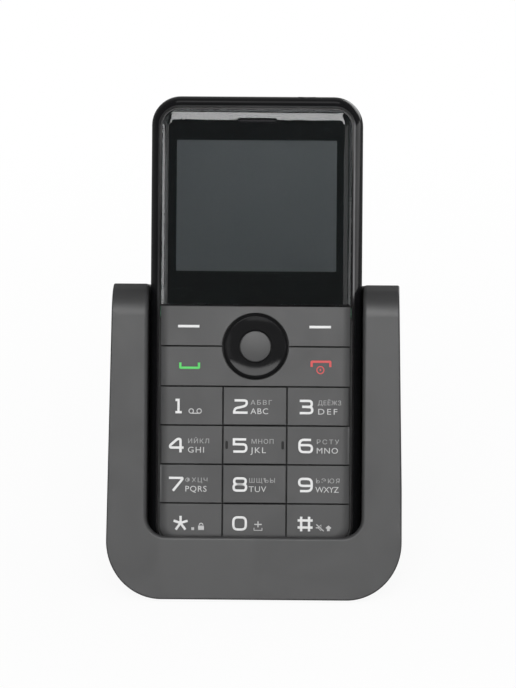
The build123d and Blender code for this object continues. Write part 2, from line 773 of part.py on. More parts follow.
# Rear housing: the back half with the battery bay and the chin that stays when the cover is off
pocket_wall = 1.2
lower_pocket_low = 16.0
lower_pocket_high = 36.5
lower_pocket_width = 41.0
upper_pocket_length = 15.15
upper_pocket_high = phone_length - front_wall
upper_pocket_low = upper_pocket_high - upper_pocket_length
upper_pocket_back = 10.2
upper_pocket_width = 46.0
bay_corner = 1.0
jack_relief = 4.0
chin_wall = 2.0
chin_pocket_back = 11.0
sound_slot_width = 1.0
sound_slot_length = 9.0
sound_slot_pitch = 2.2
sound_slots = 5
with BuildPart() as rear_housing:
    add(phone_block)
    plate(cover_split_depth, phone_depth + overrun, phone_width + overrun, phone_length, 0,
          chin_height + phone_length / 2, 0, Mode.SUBTRACT)
    add(inner_block)
    split(bisect_by=under_face(parting_depth + fit_gap), keep=Keep.BOTTOM)
    # Battery bay, and the opening in its floor over the SIM holder
    plate(floor_bottom, phone_depth, battery_width + 2 * battery_gap, battery_length + 2 * battery_gap, 0,
          battery_middle, bay_corner, Mode.SUBTRACT)
    plate(parting_depth, floor_bottom + overrun, sim_width + 2 * fit_gap, sim_length + 2 * fit_gap, 0,
          sim_middle, 0, Mode.SUBTRACT)
    # Slot for the battery contacts, open to the bay and the board
    plate(parting_depth, inner_back + overrun, contact_block_width + 2 * fit_gap,
          contact_block_length + 2 * (battery_gap + contact_strip_thickness), 0,
          contacts_middle + contact_strip_thickness, 0, Mode.SUBTRACT)
    # Lower pocket for the loudspeaker and motor, with the sound slots behind it
    plate(parting_depth, lower_pocket_back, lower_pocket_width, lower_pocket_high - lower_pocket_low, 0,
          (lower_pocket_high + lower_pocket_low) / 2, bay_corner, Mode.SUBTRACT)
    with BuildSketch(under_face(lower_pocket_back - fit_gap)) as sound_slot_shapes:
        with Locations((speaker_x, speaker_middle)):
            with GridLocations(sound_slot_pitch, 0, sound_slots, 1):
                SlotOverall(sound_slot_length, sound_slot_width, rotation=90)
    extrude(sound_slot_shapes.sketch, amount=-overrun, mode=Mode.SUBTRACT)
    # Upper pocket for the antenna and the headset socket
    plate(parting_depth, upper_pocket_back, upper_pocket_width, upper_pocket_high - upper_pocket_low, 0,
          (upper_pocket_high + upper_pocket_low) / 2, bay_corner, Mode.SUBTRACT)
    # Pocket in the chin over the plug socket, the pads and the microphone
    plate(parting_depth, chin_pocket_back, lower_pocket_width - 2 * pocket_wall,
          chin_height - 2 * chin_wall, 0, chin_height / 2, bay_corner, Mode.SUBTRACT)
    # Openings in the bottom end for the plug and the two contacts
    bar(-overrun, chin_wall + overrun, usb_width + 2 * fit_gap, usb_height + 2 * fit_gap, 0, usb_depth, 0,
        Mode.SUBTRACT)
    for side in (-1, 1):
        bar(-overrun, chin_wall + fit_gap, pad_width + 2 * fit_gap, pad_height + 2 * fit_gap, side * pad_x,
            pad_depth, 0, Mode.SUBTRACT)
    # Opening in the top end round the headset socket's collar, with room for a plug's tip
    with BuildSketch(across_phone(jack_bottom - jack_relief)) as collar_hole:
        with Locations((jack_x, jack_depth)):
            Circle(jack_radius + jack_wall + fit_gap)
    extrude(collar_hole.sketch, amount=phone_length, mode=Mode.SUBTRACT)
    # Screw holes with seats for the heads
    peg(parting_depth, phone_depth, screw_radius + fit_gap, screw_places, Mode.SUBTRACT)
    peg(screw_seat_depth, phone_depth, screw_head_radius + fit_gap, screw_places, Mode.SUBTRACT)
rear_housing.part.label = "rear_housing"

# Battery cover: a thin tray that slides up off the back
cover_slit = 0.08
with BuildPart() as battery_cover:
    add(phone_block)
    add(cover_inside, mode=Mode.SUBTRACT)
    split(bisect_by=under_face(cover_split_depth + cover_slit), keep=Keep.BOTTOM)
    plate(parting_depth, phone_depth + overrun, phone_width + overrun, phone_length, 0,
          chin_height + cover_slit - phone_length / 2, 0, Mode.SUBTRACT)
    with BuildSketch(under_face(parting_depth)) as cover_slots:
        with Locations((speaker_x, speaker_middle)):
            with GridLocations(sound_slot_pitch, 0, sound_slots, 1):
                SlotOverall(sound_slot_length, sound_slot_width, rotation=90)
    extrude(cover_slots.sketch, amount=-phone_depth, mode=Mode.SUBTRACT)
battery_cover.part.label = "battery_cover"

# Housing screws: four small pan heads, in from the back
screw_recess_radius = 0.5
screw_recess_depth = 0.5
with BuildPart() as housing_screws:
    peg(screw_seat_depth, screw_seat_depth + screw_head_height, screw_head_radius, screw_places)
    peg(screw_tip_depth + fit_gap, screw_seat_depth, screw_radius, screw_places)
    with BuildSketch(under_face(screw_seat_depth + screw_head_height - screw_recess_depth)) as recess:
        with Locations(*screw_places):
            RegularPolygon(screw_recess_radius, 6)
    extrude(recess.sketch, amount=-screw_recess_depth, mode=Mode.SUBTRACT)
housing_screws.part.label = "housing_screws"

# Cradle form: how the top is crowned and the corners rounded
crown_run = 10.0
crown_slope = radians(22.0)
crown_rounding = 12.0
bottom_rear_radius = 18.0
top_rear_radius = 12.0
lip_corner_radius = 5.0
mouth_edge_radius = 1.0


# The cradle's outside form, drawn in by an inset: a tapered body with rounded rear
# corners and bottom, cut by the side view of its leaning front and crowned top
def cradle_form(inset):
    low = foot_height + inset
    high = cradle_height + overrun
    with BuildPart() as form:
        plans = []
        for height, rear_radius in ((low, bottom_rear_radius), (high, top_rear_radius)):
            half_width = cradle_half_width - cradle_side_slope * (height - foot_height) - inset
            rear = rear_foot - rear_slope * (height - foot_height) - inset
            with BuildSketch(Plane.XY.offset(height)) as plan:
                with Locations((0, rear - cradle_depth)):
                    RectangleRounded(2 * half_width, 2 * cradle_depth, rear_radius - inset)
            plans.append(plan.sketch.faces()[0])
        loft(plans, ruled=True)
        fillet(form.faces().sort_by(Axis.Z)[0].edges().sort_by(Axis.Y)[1:], cradle_bottom_rounding - inset)
        top = cradle_height - inset
        under = foot_height - overrun
        front = front_foot + inset / cos(lean)
        sole = (front + (under - foot_height) * tan(lean), under)
        brow = (front + (top - foot_height) * tan(lean), top)
        crown = (brow[0] + crown_run, top)
        nape = (cradle_depth, top - (cradle_depth - crown[0]) * tan(crown_slope))
        heel = (cradle_depth, under)
        with BuildSketch(Plane.YZ) as side_view:
            with BuildLine():
                Polyline(sole, brow, crown, nape, heel, close=True)
            make_face()
            fillet(side_view.vertices().sort_by_distance(brow)[0], cradle_top_rounding - inset)
            fillet(side_view.vertices().sort_by_distance(crown)[0], crown_rounding - inset)
        extrude(side_view.sketch, amount=cradle_depth, both=True, mode=Mode.INTERSECT)
    return form.part


# The room that the phone slides down into, grown on all sides
def pocket_room(grow, floor_drop):
    with BuildPart() as room:
        with BuildSketch(across_phone(-seat_gap - floor_drop)):
            with Locations((0, phone_depth / 2)):
                RectangleRounded(phone_width + 2 * grow, phone_depth + 2 * grow, back_rounding + grow)
        extrude(amount=phone_length)
    return room.part


cradle_block = cradle_form(0)
cradle_inside = cradle_form(cradle_wall)
rib_reach = cradle_form(cradle_wall / 2)
pocket_space = pocket_room(pocket_gap, 0)
pocket_walls = pocket_room(pocket_gap + cradle_wall, cradle_wall)

# Hollow of the cradle: inside the walls and clear of the pocket's own walls
with BuildPart() as cradle_hollow:
    add(cradle_inside)
    add(pocket_walls, mode=Mode.SUBTRACT)

# Base plate, and the ledge and bosses in the shell that it is screwed to
base_side_margin = 2.04
base_front_margin = 3.65
base_rear_margin = 1.3
base_width = 2 * (cradle_half_width - cradle_bottom_rounding - base_side_margin)
base_front = front_foot + base_front_margin
base_rear = cradle_depth / 2 - cradle_bottom_rounding - base_rear_margin
base_length = base_rear - base_front
base_middle = (base_rear + base_front) / 2
base_corner = 6.0
base_thickness = 1.4
base_gap = 0.15
base_top = foot_height + base_thickness
ledge_width = 4.0
ledge_thickness = 1.8
ledge_top = base_top + ledge_thickness
boss_inset = 3.6
base_boss_radius = 2.4
boss_height = 6.4
boss_top = base_top + boss_height
base_screw_radius = 1.1
base_screw_length = 4.6
base_screw_head_radius = 1.9
base_screw_head_height = 0.9
base_screw_places = [
    (side * (base_width / 2 - boss_inset), base_middle + end * (base_length / 2 - boss_inset))
    for side in (-1, 1)
    for end in (-1, 1)
]

# Contact pins in the pocket floor, each in a barrel with a spring under it
pin_radius = 0.6
pin_hole_gap = 0.15
pin_travel = 0.8
pin_tip = pad_recess - fit_gap
pin_collar_radius = 0.85
pin_collar_drop = 0.85
pin_collar_length = 0.6
barrel_radius = 1.15
barrel_bore = 0.92
barrel_top = -seat_gap - cradle_wall - fit_gap
barrel_foot_z = base_top + fit_gap + (pad_depth + barrel_radius) * sin(lean)
barrel_bottom = (barrel_foot_z - phone_z) / cos(lean)
barrel_floor = 0.2
pin_collar_high = barrel_top - pin_collar_drop
pin_collar_low = pin_collar_high - pin_collar_length
spring_radius = 0.7
spring_wire = 0.1
spring_pitch = 0.35
spring_top = pin_collar_low - pin_travel - fit_gap
block_width = 24.0
block_thickness = 4.6
block_height = 2.45
block_bottom = barrel_top - block_height
block_corner = 0.5
tip_share = 0.8
pin_places = ((-pad_x, pad_depth), (pad_x, pad_depth))

# Power socket on a small board at the back
cradle_socket_gap = 0.2
cradle_board_width = 26.0
cradle_board_length = 20.0
cradle_board_thickness = 1.0
cradle_board_top = foot_height + cradle_bottom_rounding + cradle_socket_gap
cradle_socket_width = 7.6
cradle_socket_height = 2.5
cradle_socket_length = 5.6
cradle_socket_wall = 0.3
cradle_socket_inset = 0.9
cradle_socket_z = cradle_board_top + fit_gap + cradle_socket_height / 2
rear_at_socket = rear_foot - rear_slope * (cradle_socket_z - foot_height)
cradle_socket_back = rear_at_socket - cradle_socket_inset
board_back = rear_at_socket - cradle_wall - fit_gap - rear_slope * cradle_socket_height
rib_width = 3.0
rib_height = 4.0
rib_length = 12.0


# A level slab, from one height to a higher one
def slab(low, high, width, length, x=0, y=0, corner=0, mode=Mode.ADD):
    with BuildSketch(Plane.XY.offset(low)) as outline:
        with Locations((x, y)):
            if corner > 0:
                RectangleRounded(width, length, corner)
            else:
                Rectangle(width, length)
    extrude(outline.sketch, amount=high - low, mode=mode)


# Upright round pegs or holes
def post(low, high, radius, places, mode=Mode.ADD):
    with BuildSketch(Plane.XY.offset(low)) as outline:
        with Locations(*places):
            Circle(radius)
    extrude(outline.sketch, amount=high - low, mode=mode)


# A round rod along the phone's length, between two heights
def rod(low, high, radius, places, mode=Mode.ADD):
    with BuildSketch(across_phone(low)) as outline:
        with Locations(*places):
            Circle(radius)
    extrude(outline.sketch, amount=high - low, mode=mode)


# Ribs inside the back wall that carry the socket's board
with BuildPart() as board_ribs:
    for side in (-1, 1):
        slab(cradle_board_top - cradle_board_thickness - fit_gap - rib_height,
             cradle_board_top - cradle_board_thickness - fit_gap, rib_width, cradle_depth,
             side * (cradle_board_width / 2 - rib_width), board_back - rib_length + cradle_depth / 2)
    add(rib_reach, mode=Mode.INTERSECT)

# Cradle shell: the outside form with the pocket, the open front and the hollow
with BuildPart() as cradle_shell:
    add(cradle_block)
    front_edges = cradle_shell.faces().sort_by(out_of_face)[-1].edges().sort_by(Axis.Z)
    fillet(front_edges[:-1], cradle_edge_rounding)
    add(pocket_space, mode=Mode.SUBTRACT)
    with BuildSketch(under_face(phone_depth / 2)) as mouth:
        with Locations((0, lip_height + phone_length / 2)):
            RectangleRounded(phone_width + 2 * pocket_gap, phone_length, lip_corner_radius)
    extrude(mouth.sketch, amount=phone_depth, mode=Mode.SUBTRACT)
    mouth_half = phone_width / 2 + pocket_gap + mouth_edge_radius
    mouth_edges = cradle_shell.faces().sort_by(out_of_face)[-1].edges()
    mouth_edges = mouth_edges.filter_by_position(Axis.X, -mouth_half, mouth_half).sort_by(Axis.Z)
    fillet(mouth_edges[1:], mouth_edge_radius)
    add(cradle_hollow.part, mode=Mode.SUBTRACT)
    # Ledge and bosses for the base plate, in a recess open to the underside
    slab(foot_height, ledge_top, base_width + 2 * base_gap, base_length + 2 * base_gap, 0, base_middle,
         base_corner)
    post(base_top, boss_top, base_boss_radius, base_screw_places)
    slab(foot_height, base_top + base_gap, base_width + 2 * base_gap, base_length + 2 * base_gap, 0,
         base_middle, base_corner + base_gap, Mode.SUBTRACT)
    slab(foot_height, ledge_top, base_width - 2 * ledge_width, base_length - 2 * ledge_width, 0,
         base_middle, base_corner - ledge_width, Mode.SUBTRACT)
    post(base_top, boss_top - cradle_wall, base_screw_radius + fit_gap, base_screw_places, Mode.SUBTRACT)
    # Holes in the pocket floor for the pins
    rod(-seat_gap - cradle_wall - overrun, overrun, pin_radius + pin_hole_gap, pin_places, Mode.SUBTRACT)
    add(board_ribs.part)
    # Opening in the back for the power socket
    slab(cradle_socket_z - cradle_socket_height / 2 - cradle_socket_gap,
         cradle_socket_z + cradle_socket_height / 2 + cradle_socket_gap,
         cradle_socket_width + 2 * cradle_socket_gap, cradle_depth / 2, 0, cradle_socket_back, 0,
         Mode.SUBTRACT)
cradle_shell.part.label = "cradle_shell"

# Base plate: closes the underside, with a rim that holds the weight
foot_radius = 3.5
foot_sink = 0.4
foot_inset_x = 10.0
foot_inset_y = 4.5
foot_places = [
    (side * (base_width / 2 - foot_inset_x), base_middle + end * (base_length / 2 - foot_inset_y))
    for side in (-1, 1)
    for end in (-1, 1)
]
ballast_width = 28.0
ballast_height = 8.0
ballast_gap = 0.25
ballast_corner = 1.0
rim_wall = 1.0
rim_height = 2.0
rim_gap = 0.5
ballast_top = base_top + fit_gap + ballast_height
pocket_heel = (phone_depth + pocket_gap + cradle_wall) / cos(lean)
ballast_front = phone_y + (ballast_top - phone_z) * tan(lean) + pocket_heel + ballast_gap
ballast_rear = base_rear - ledge_width - rim_wall - rim_gap
ballast_length = ballast_rear - ballast_front
ballast_middle = (ballast_rear + ballast_front) / 2
with BuildPart() as cradle_base:
    slab(foot_height, base_top, base_width, base_length, 0, base_middle, base_corner)
    slab(base_top, base_top + rim_height, ballast_width + 2 * rim_wall, ballast_length + 2 * rim_wall, 0,
         ballast_middle, ballast_corner)
    slab(base_top, base_top + rim_height, ballast_width + 2 * fit_gap, ballast_length + 2 * fit_gap, 0,
         ballast_middle, 0, Mode.SUBTRACT)
    post(foot_height, foot_height + foot_sink, foot_radius + fit_gap, foot_places, Mode.SUBTRACT)
    post(foot_height, base_top, base_screw_radius + fit_gap, base_screw_places, Mode.SUBTRACT)
    post(foot_height, foot_height + base_screw_head_height, base_screw_head_radius + fit_gap,
         base_screw_places, Mode.SUBTRACT)
cradle_base.part.label = "cradle_base"

# Feet: four rubber discs set into the base plate
foot_edge_radius = 0.4
with BuildPart() as cradle_feet:
    post(0, foot_height + foot_sink - fit_gap, foot_radius, foot_places)
    fillet(cradle_feet.faces().sort_by(Axis.Z)[:len(foot_places)].edges(), foot_edge_radius)
cradle_feet.part.label = "cradle_feet"

# Weight: a steel block on the base plate that keeps the cradle steady
with BuildPart() as cradle_weight:
    slab(base_top + fit_gap, ballast_top, ballast_width, ballast_length, 0,
         ballast_middle)
    chamfer(cradle_weight.edges().filter_by(Axis.Z), ballast_corner)
cradle_weight.part.label = "cradle_weight"

# Base screws: four pan heads under the base plate
base_screw_seat = foot_height + base_screw_head_height - fit_gap
base_recess_radius = 0.9
base_recess_depth = 0.5
with BuildPart() as cradle_screws:
    post(foot_height + fit_gap, base_screw_seat, base_screw_head_radius, base_screw_places)
    post(base_screw_seat, base_screw_seat + base_screw_length, base_screw_radius, base_screw_places)
    with BuildSketch(Plane.XY.offset(foot_height + fit_gap)) as recess:
        with Locations(*base_screw_places):
            RegularPolygon(base_recess_radius, 6)
    extrude(recess.sketch, amount=base_recess_depth, mode=Mode.SUBTRACT)
cradle_screws.part.label = "cradle_screws"

# Contact block: holds both pin barrels under the pocket floor
with BuildPart() as contact_block:
    bar(block_bottom, barrel_top, block_width, block_thickness, 0, pad_depth)
    rod(block_bottom, barrel_top, barrel_radius + fit_gap, pin_places, Mode.SUBTRACT)
    fillet(contact_block.edges().filter_by(up_phone), block_corner)
contact_block.part.label = "contact_block"

# Barrels: two brass tubes, closed at the bottom
with BuildPart() as contact_barrels:
    rod(barrel_bottom, barrel_top, barrel_radius, pin_places)
    rod(barrel_bottom + barrel_floor, barrel_top, barrel_bore, pin_places, Mode.SUBTRACT)
contact_barrels.part.label = "contact_barrels"

# Springs: drawn at the length they have with the pins pushed right down
spring_bottom = barrel_bottom + barrel_floor + spring_wire + fit_gap
with BuildPart() as coil_spring:
    with BuildLine() as coil:
        Helix(spring_pitch, spring_top - spring_wire - spring_bottom, spring_radius)
    with BuildSketch(Plane(origin=coil.line @ 0, z_dir=coil.line % 0)) as wire:
        Circle(spring_wire)
    sweep(wire.sketch, path=coil.line, is_frenet=True)
with BuildPart() as contact_springs:
    for place in pin_places:
        coil_foot = face.from_local_coords((place[0], spring_bottom, -place[1]))
        with Locations(Plane(origin=coil_foot, x_dir=(1, 0, 0), z_dir=face.y_dir)):
            add(coil_spring.part)
contact_springs.part.label = "contact_springs"

# Contact pins, left and right as seen from the front: a rod with a rounded tip and
# a collar that keeps it in its barrel
contact_pins = []
for place, pin_name in zip(pin_places, ("contact_pin_left", "contact_pin_right")):
    with BuildPart() as contact_pin:
        rod(pin_collar_low, pin_tip, pin_radius, [place])
        fillet(contact_pin.faces().sort_by(Axis.Z)[-1].edges(), pin_radius * tip_share)
        rod(pin_collar_low, pin_collar_high, pin_collar_radius, [place])
    contact_pin.part.label = pin_name
    contact_pins.append(contact_pin)

# Cradle board: carries the power socket at the back, on two ribs of the shell
with BuildPart() as cradle_board:
    slab(cradle_board_top - cradle_board_thickness, cradle_board_top, cradle_board_width,
         cradle_board_length, 0, board_back - cradle_board_length / 2)
cradle_board.part.label = "cradle_board"

# Power socket: a metal sleeve with a tongue
socket_front = cradle_socket_back - cradle_socket_length
with BuildPart() as cradle_socket:
    with BuildSketch(Plane(origin=(0, socket_front, cradle_socket_z), x_dir=(1, 0, 0), z_dir=(0, 1, 0))):
        RectangleRounded(cradle_socket_width, cradle_socket_height, cradle_socket_wall)
    extrude(amount=cradle_socket_length)
    inside_plane = Plane(
        origin=(0, socket_front + cradle_socket_wall, cradle_socket_z), x_dir=(1, 0, 0), z_dir=(0, 1, 0)
    )
    with BuildSketch(inside_plane) as socket_room:
        Rectangle(cradle_socket_width - 2 * cradle_socket_wall, cradle_socket_height - 2 * cradle_socket_wall)
    extrude(socket_room.sketch, amount=cradle_socket_length, mode=Mode.SUBTRACT)
    with BuildSketch(inside_plane) as tongue:
        Rectangle(cradle_socket_width / 2, usb_tongue)
    extrude(tongue.sketch, amount=cradle_socket_length - 2 * cradle_socket_wall)
cradle_socket.part.label = "cradle_socket"

os.makedirs("parts", exist_ok=True)
for piece in (
    front_housing, bezel_trim, display_lens, earpiece_mesh, earpiece, display_module, display_frame,
    main_board, display_flex, soft_key_bar, call_key_bar, nav_ring, nav_carrier, ok_key, *digit_keys,
    keypad_mat, dome_sheet, shield_cans, sim_holder, microphone, loudspeaker, vibration_motor,
    vibration_weight, battery, battery_contacts, usb_socket, headset_jack, charging_pads, antenna,
    rear_housing, battery_cover, housing_screws, cradle_shell, cradle_base, cradle_feet, cradle_weight,
    cradle_screws, contact_block, contact_barrels, contact_springs, *contact_pins, cradle_board,
    cradle_socket,
):
    export_step(piece.part, "parts/" + piece.part.label + ".step")
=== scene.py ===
import math

import bmesh
import bpy
from mathutils import Matrix, Vector


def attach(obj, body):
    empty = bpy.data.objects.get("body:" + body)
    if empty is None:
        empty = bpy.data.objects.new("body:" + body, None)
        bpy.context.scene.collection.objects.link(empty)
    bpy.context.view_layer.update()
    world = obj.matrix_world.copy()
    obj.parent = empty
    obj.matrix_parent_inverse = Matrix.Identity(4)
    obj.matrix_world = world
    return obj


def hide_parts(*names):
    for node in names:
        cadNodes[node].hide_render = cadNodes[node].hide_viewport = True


# A keypad phone standing in its desk charging cradle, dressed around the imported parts.
# Pieces are modelled in millimetres, then placed in metres.
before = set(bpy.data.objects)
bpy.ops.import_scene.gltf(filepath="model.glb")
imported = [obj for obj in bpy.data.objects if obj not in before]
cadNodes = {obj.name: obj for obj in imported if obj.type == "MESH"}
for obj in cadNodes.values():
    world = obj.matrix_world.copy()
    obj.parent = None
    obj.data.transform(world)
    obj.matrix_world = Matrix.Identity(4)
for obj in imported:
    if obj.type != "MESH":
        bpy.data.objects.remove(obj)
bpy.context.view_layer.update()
print("frame loaded with", len(cadNodes), "nodes")

metre = 0.001
nearly = 0.01  # how close two places lie that count as one, in millimetres
phone = {"lean": 18.0, "width": 54.5, "length": 118.0, "depth": 13.5, "cornerRadius": 7.5,
         "frontRounding": 5.2, "backRounding": 5.0, "roundingSteps": 14,
         "faceReach": 0.001}
window = {"width": 48.7, "low": 3.1, "high": 114.5, "cornerRadius": 4.4, "cornerSteps": 10}

# The phone's own axes: x across, y up the phone from its bottom end, z out of its face
leanTurn = Matrix.Rotation(math.pi / 2 - math.radians(phone["lean"]), 4, "X")
housingPoints = [leanTurn.inverted() @ corner.co
                 for corner in cadNodes["front_housing"].data.vertices]
phoneFoot = min(point.y for point in housingPoints)
phoneFace = max(point.z for point in housingPoints)
onPhone = leanTurn @ Matrix.Translation((0, phoneFoot, phoneFace)) @ Matrix.Scale(metre, 4)


def deselectAll():
    if bpy.context.object and bpy.context.object.mode != "OBJECT":
        bpy.ops.object.mode_set(mode="OBJECT")
    bpy.ops.object.select_all(action="DESELECT")


def takeUp(piece):  # makes one piece the only selected and the active one
    deselectAll()
    piece.select_set(True)
    bpy.context.view_layer.objects.active = piece


def applyPlace(piece):
    takeUp(piece)
    bpy.ops.object.transform_apply(location=True, rotation=True, scale=True)


def addBlock(name, low, high):  # a box between two corners
    low, high = Vector(low), Vector(high)
    deselectAll()
    bpy.ops.mesh.primitive_cube_add(size=1, location=(low + high) / 2, scale=high - low)
    piece = bpy.context.object
    piece.name = name
    applyPlace(piece)
    return piece


def addCylinder(steps, radius, depth, middle):
    deselectAll()
    bpy.ops.mesh.primitive_cylinder_add(vertices=steps, radius=radius, depth=depth, location=middle)
    applyPlace(bpy.context.object)
    return bpy.context.object


def joinPieces(pieces):  # joins the others to the first
    takeUp(pieces[0])
    for other in pieces[1:]:
        other.select_set(True)
    if len(pieces) > 1:
        bpy.ops.object.join()
    return pieces[0]


def startEdit(piece, kind):
    takeUp(piece)
    bpy.ops.object.mode_set(mode="EDIT")
    bpy.ops.mesh.select_mode(type=kind)
    bpy.ops.mesh.select_all(action="DESELECT")
    return bmesh.from_edit_mesh(piece.data)


def endEdit(piece):
    bmesh.update_edit_mesh(piece.data)
    bpy.ops.object.mode_set(mode="OBJECT")


def bevelEdges(piece, chosen, radius, steps):  # rounds the edges whose two ends pass the test
    shape = startEdit(piece, "EDGE")
    for edge in shape.edges:
        edge.select = chosen(edge.verts[0].co, edge.verts[1].co)
    bmesh.update_edit_mesh(piece.data)
    bpy.ops.mesh.bevel(offset=radius, segments=steps, profile=0.5, affect="EDGES",
                       clamp_overlap=False)
    endEdit(piece)


def sliceOff(piece, place, normal):  # cuts away what lies on the side the normal points to
    startEdit(piece, "EDGE")
    bpy.ops.mesh.select_all(action="SELECT")
    bpy.ops.mesh.bisect(plane_co=place, plane_no=normal, use_fill=True, clear_outer=True)
    endEdit(piece)


def combine(piece, tool, operation, keepTool=False):
    change = piece.modifiers.new("combine", "BOOLEAN")
    change.object = tool
    change.operation = operation
    change.solver = "EXACT"
    takeUp(piece)
    bpy.ops.object.modifier_apply(modifier=change.name)
    if not keepTool:
        bpy.data.objects.remove(tool)


def copyPiece(piece, name):
    twin = piece.copy()
    twin.data = piece.data.copy()
    twin.name = name
    bpy.context.collection.objects.link(twin)
    return twin


def softenEdges(piece, radius, steps=3, angle=50):  # rounds the edges sharper than the angle
    soften = piece.modifiers.new("soften", "BEVEL")
    soften.width = radius
    soften.segments = steps
    soften.limit_method = "ANGLE"
    soften.angle_limit = math.radians(angle)
    takeUp(piece)
    bpy.ops.object.modifier_apply(modifier=soften.name)


def smoothShade(piece, angle=32):
    takeUp(piece)
    bpy.ops.object.shade_smooth_by_angle(angle=math.radians(angle))
    even = piece.modifiers.new("even", "WEIGHTED_NORMAL")
    even.keep_sharp = True
    bpy.ops.object.modifier_apply(modifier=even.name)


# Places a finished piece, gives it its material, attaches it to its body and hides the nodes it
# replaces
def settle(piece, place, body, material=None, nodes=()):
    piece.data.transform(place)
    piece.matrix_world = Matrix.Identity(4)
    if material:
        piece.data.materials.clear()
        piece.data.materials.append(material)
    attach(piece, body)
    if nodes:
        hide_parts(*nodes)


def upright(first, second):  # an edge that runs straight through the phone's depth
    return abs(first.x - second.x) < nearly and abs(first.y - second.y) < nearly


# Shader groups: grain, smudges and brushing are each built once and used in many materials
grainLook = {"scale": 9000.0, "depth": 0.3, "fineDetail": 4, "mottleScale": 90, "mottleDetail": 5}
smudgeLook = {"scale": 60.0, "clean": 0.08, "smudged": 0.16, "detail": 6, "distortion": 1.2,
              "low": 0.42, "high": 0.72}
brushLook = {"stretch": (1.0, 1.0, 40.0), "scale": 2500.0, "detail": 3}


def setInputs(node, values):  # underscores stand for the spaces in a socket's name
    for label, value in values.items():
        node.inputs[label.replace("_", " ")].default_value = value


def addNode(tree, kind, **values):
    node = tree.nodes.new(kind)
    setInputs(node, values)
    return node


def addMaths(tree, operation, first, second):
    node = tree.nodes.new("ShaderNodeMath")
    node.operation = operation
    tree.links.new(first, node.inputs[0])
    tree.links.new(second, node.inputs[1])
    return node.outputs[0]


def newGroup(name, inputs, outputs):  # a float makes a number socket, the rest are vectors
    group = bpy.data.node_groups.new(name, "ShaderNodeTree")
    for label, value in inputs.items():
        kind = "NodeSocketFloat" if isinstance(value, float) else "NodeSocketVector"
        socket = group.interface.new_socket(label, in_out="INPUT", socket_type=kind)
        if value is not None:
            socket.default_value = value
    for label in outputs:
        group.interface.new_socket(label, in_out="OUTPUT", socket_type="NodeSocketFloat")
    given, result = group.nodes.new("NodeGroupInput"), group.nodes.new("NodeGroupOutput")
    return group, given.outputs, result.inputs


def makeGrainGroup(look):
    group, given, result = newGroup(
        "mouldedGrain", {"Vector": None, "Grain Scale": look["scale"], "Depth": look["depth"]},
        ("Height", "Mottle"))
    fine = addNode(group, "ShaderNodeTexNoise", Detail=look["fineDetail"])
    broad = addNode(group, "ShaderNodeTexNoise", Scale=look["mottleScale"],
                    Detail=look["mottleDetail"])
    group.links.new(given["Vector"], fine.inputs["Vector"])
    group.links.new(given["Vector"], broad.inputs["Vector"])
    group.links.new(given["Grain Scale"], fine.inputs["Scale"])
    height = addMaths(group, "MULTIPLY", fine.outputs["Fac"], given["Depth"])
    group.links.new(height, result["Height"])
    group.links.new(broad.outputs["Fac"], result["Mottle"])
    return group


def makeSmudgeGroup(look):
    group, given, result = newGroup(
        "handledSmudge", {"Vector": None, "Smudge Scale": look["scale"], "Clean": look["clean"],
                          "Smudged": look["smudged"]}, ("Roughness",))
    cloud = addNode(group, "ShaderNodeTexNoise", Detail=look["detail"],
                    Distortion=look["distortion"])
    spread = addNode(group, "ShaderNodeMapRange", From_Min=look["low"], From_Max=look["high"])
    group.links.new(given["Vector"], cloud.inputs["Vector"])
    group.links.new(given["Smudge Scale"], cloud.inputs["Scale"])
    group.links.new(cloud.outputs["Fac"], spread.inputs["Value"])
    group.links.new(given["Clean"], spread.inputs["To Min"])
    group.links.new(given["Smudged"], spread.inputs["To Max"])
    group.links.new(spread.outputs["Result"], result["Roughness"])
    return group


def makeBrushGroup(look):
    group, given, result = newGroup(
        "brushedLines", {"Vector": None, "Stretch": look["stretch"], "Line Scale": look["scale"]},
        ("Lines",))
    stretch = group.nodes.new("ShaderNodeVectorMath")
    stretch.operation = "DIVIDE"
    lines = addNode(group, "ShaderNodeTexNoise", Detail=look["detail"])
    group.links.new(given["Vector"], stretch.inputs[0])
    group.links.new(given["Stretch"], stretch.inputs[1])
    group.links.new(stretch.outputs[0], lines.inputs["Vector"])
    group.links.new(given["Line Scale"], lines.inputs["Scale"])
    group.links.new(lines.outputs["Fac"], result["Lines"])
    return group


grainGroup = makeGrainGroup(grainLook)
smudgeGroup = makeSmudgeGroup(smudgeLook)
brushGroup = makeBrushGroup(brushLook)
bumpDepth = {"plastic": 0.00002, "metal": 0.00001, "ink": 0.00001, "trim": 0.000001}


def startMaterial(name):
    material = bpy.data.materials.new(name)
    material.use_nodes = True
    tree = material.node_tree
    place = tree.nodes.new("ShaderNodeTexCoord")
    return material, tree, tree.nodes["Principled BSDF"], place.outputs["Object"]


def addGroup(tree, group, vector, **values):
    node = tree.nodes.new("ShaderNodeGroup")
    node.node_tree = group
    tree.links.new(vector, node.inputs["Vector"])
    setInputs(node, values)
    return node


def addColour(tree, shader, factor, first, second):  # a base colour that varies between two
    mix = tree.nodes.new("ShaderNodeMix")
    mix.data_type = "RGBA"
    setInputs(mix, {"A": (*first, 1), "B": (*second, 1)})
    tree.links.new(factor, mix.inputs["Factor"])
    tree.links.new(mix.outputs["Result"], shader.inputs["Base Color"])


def addSmudge(tree, shader, place, **values):
    smudge = addGroup(tree, smudgeGroup, place, **values)
    tree.links.new(smudge.outputs["Roughness"], shader.inputs["Roughness"])


def addBump(tree, shader, height, distance):
    bump = addNode(tree, "ShaderNodeBump", Strength=1, Distance=distance)
    tree.links.new(height, bump.inputs["Height"])
    tree.links.new(bump.outputs["Normal"], shader.inputs["Normal"])


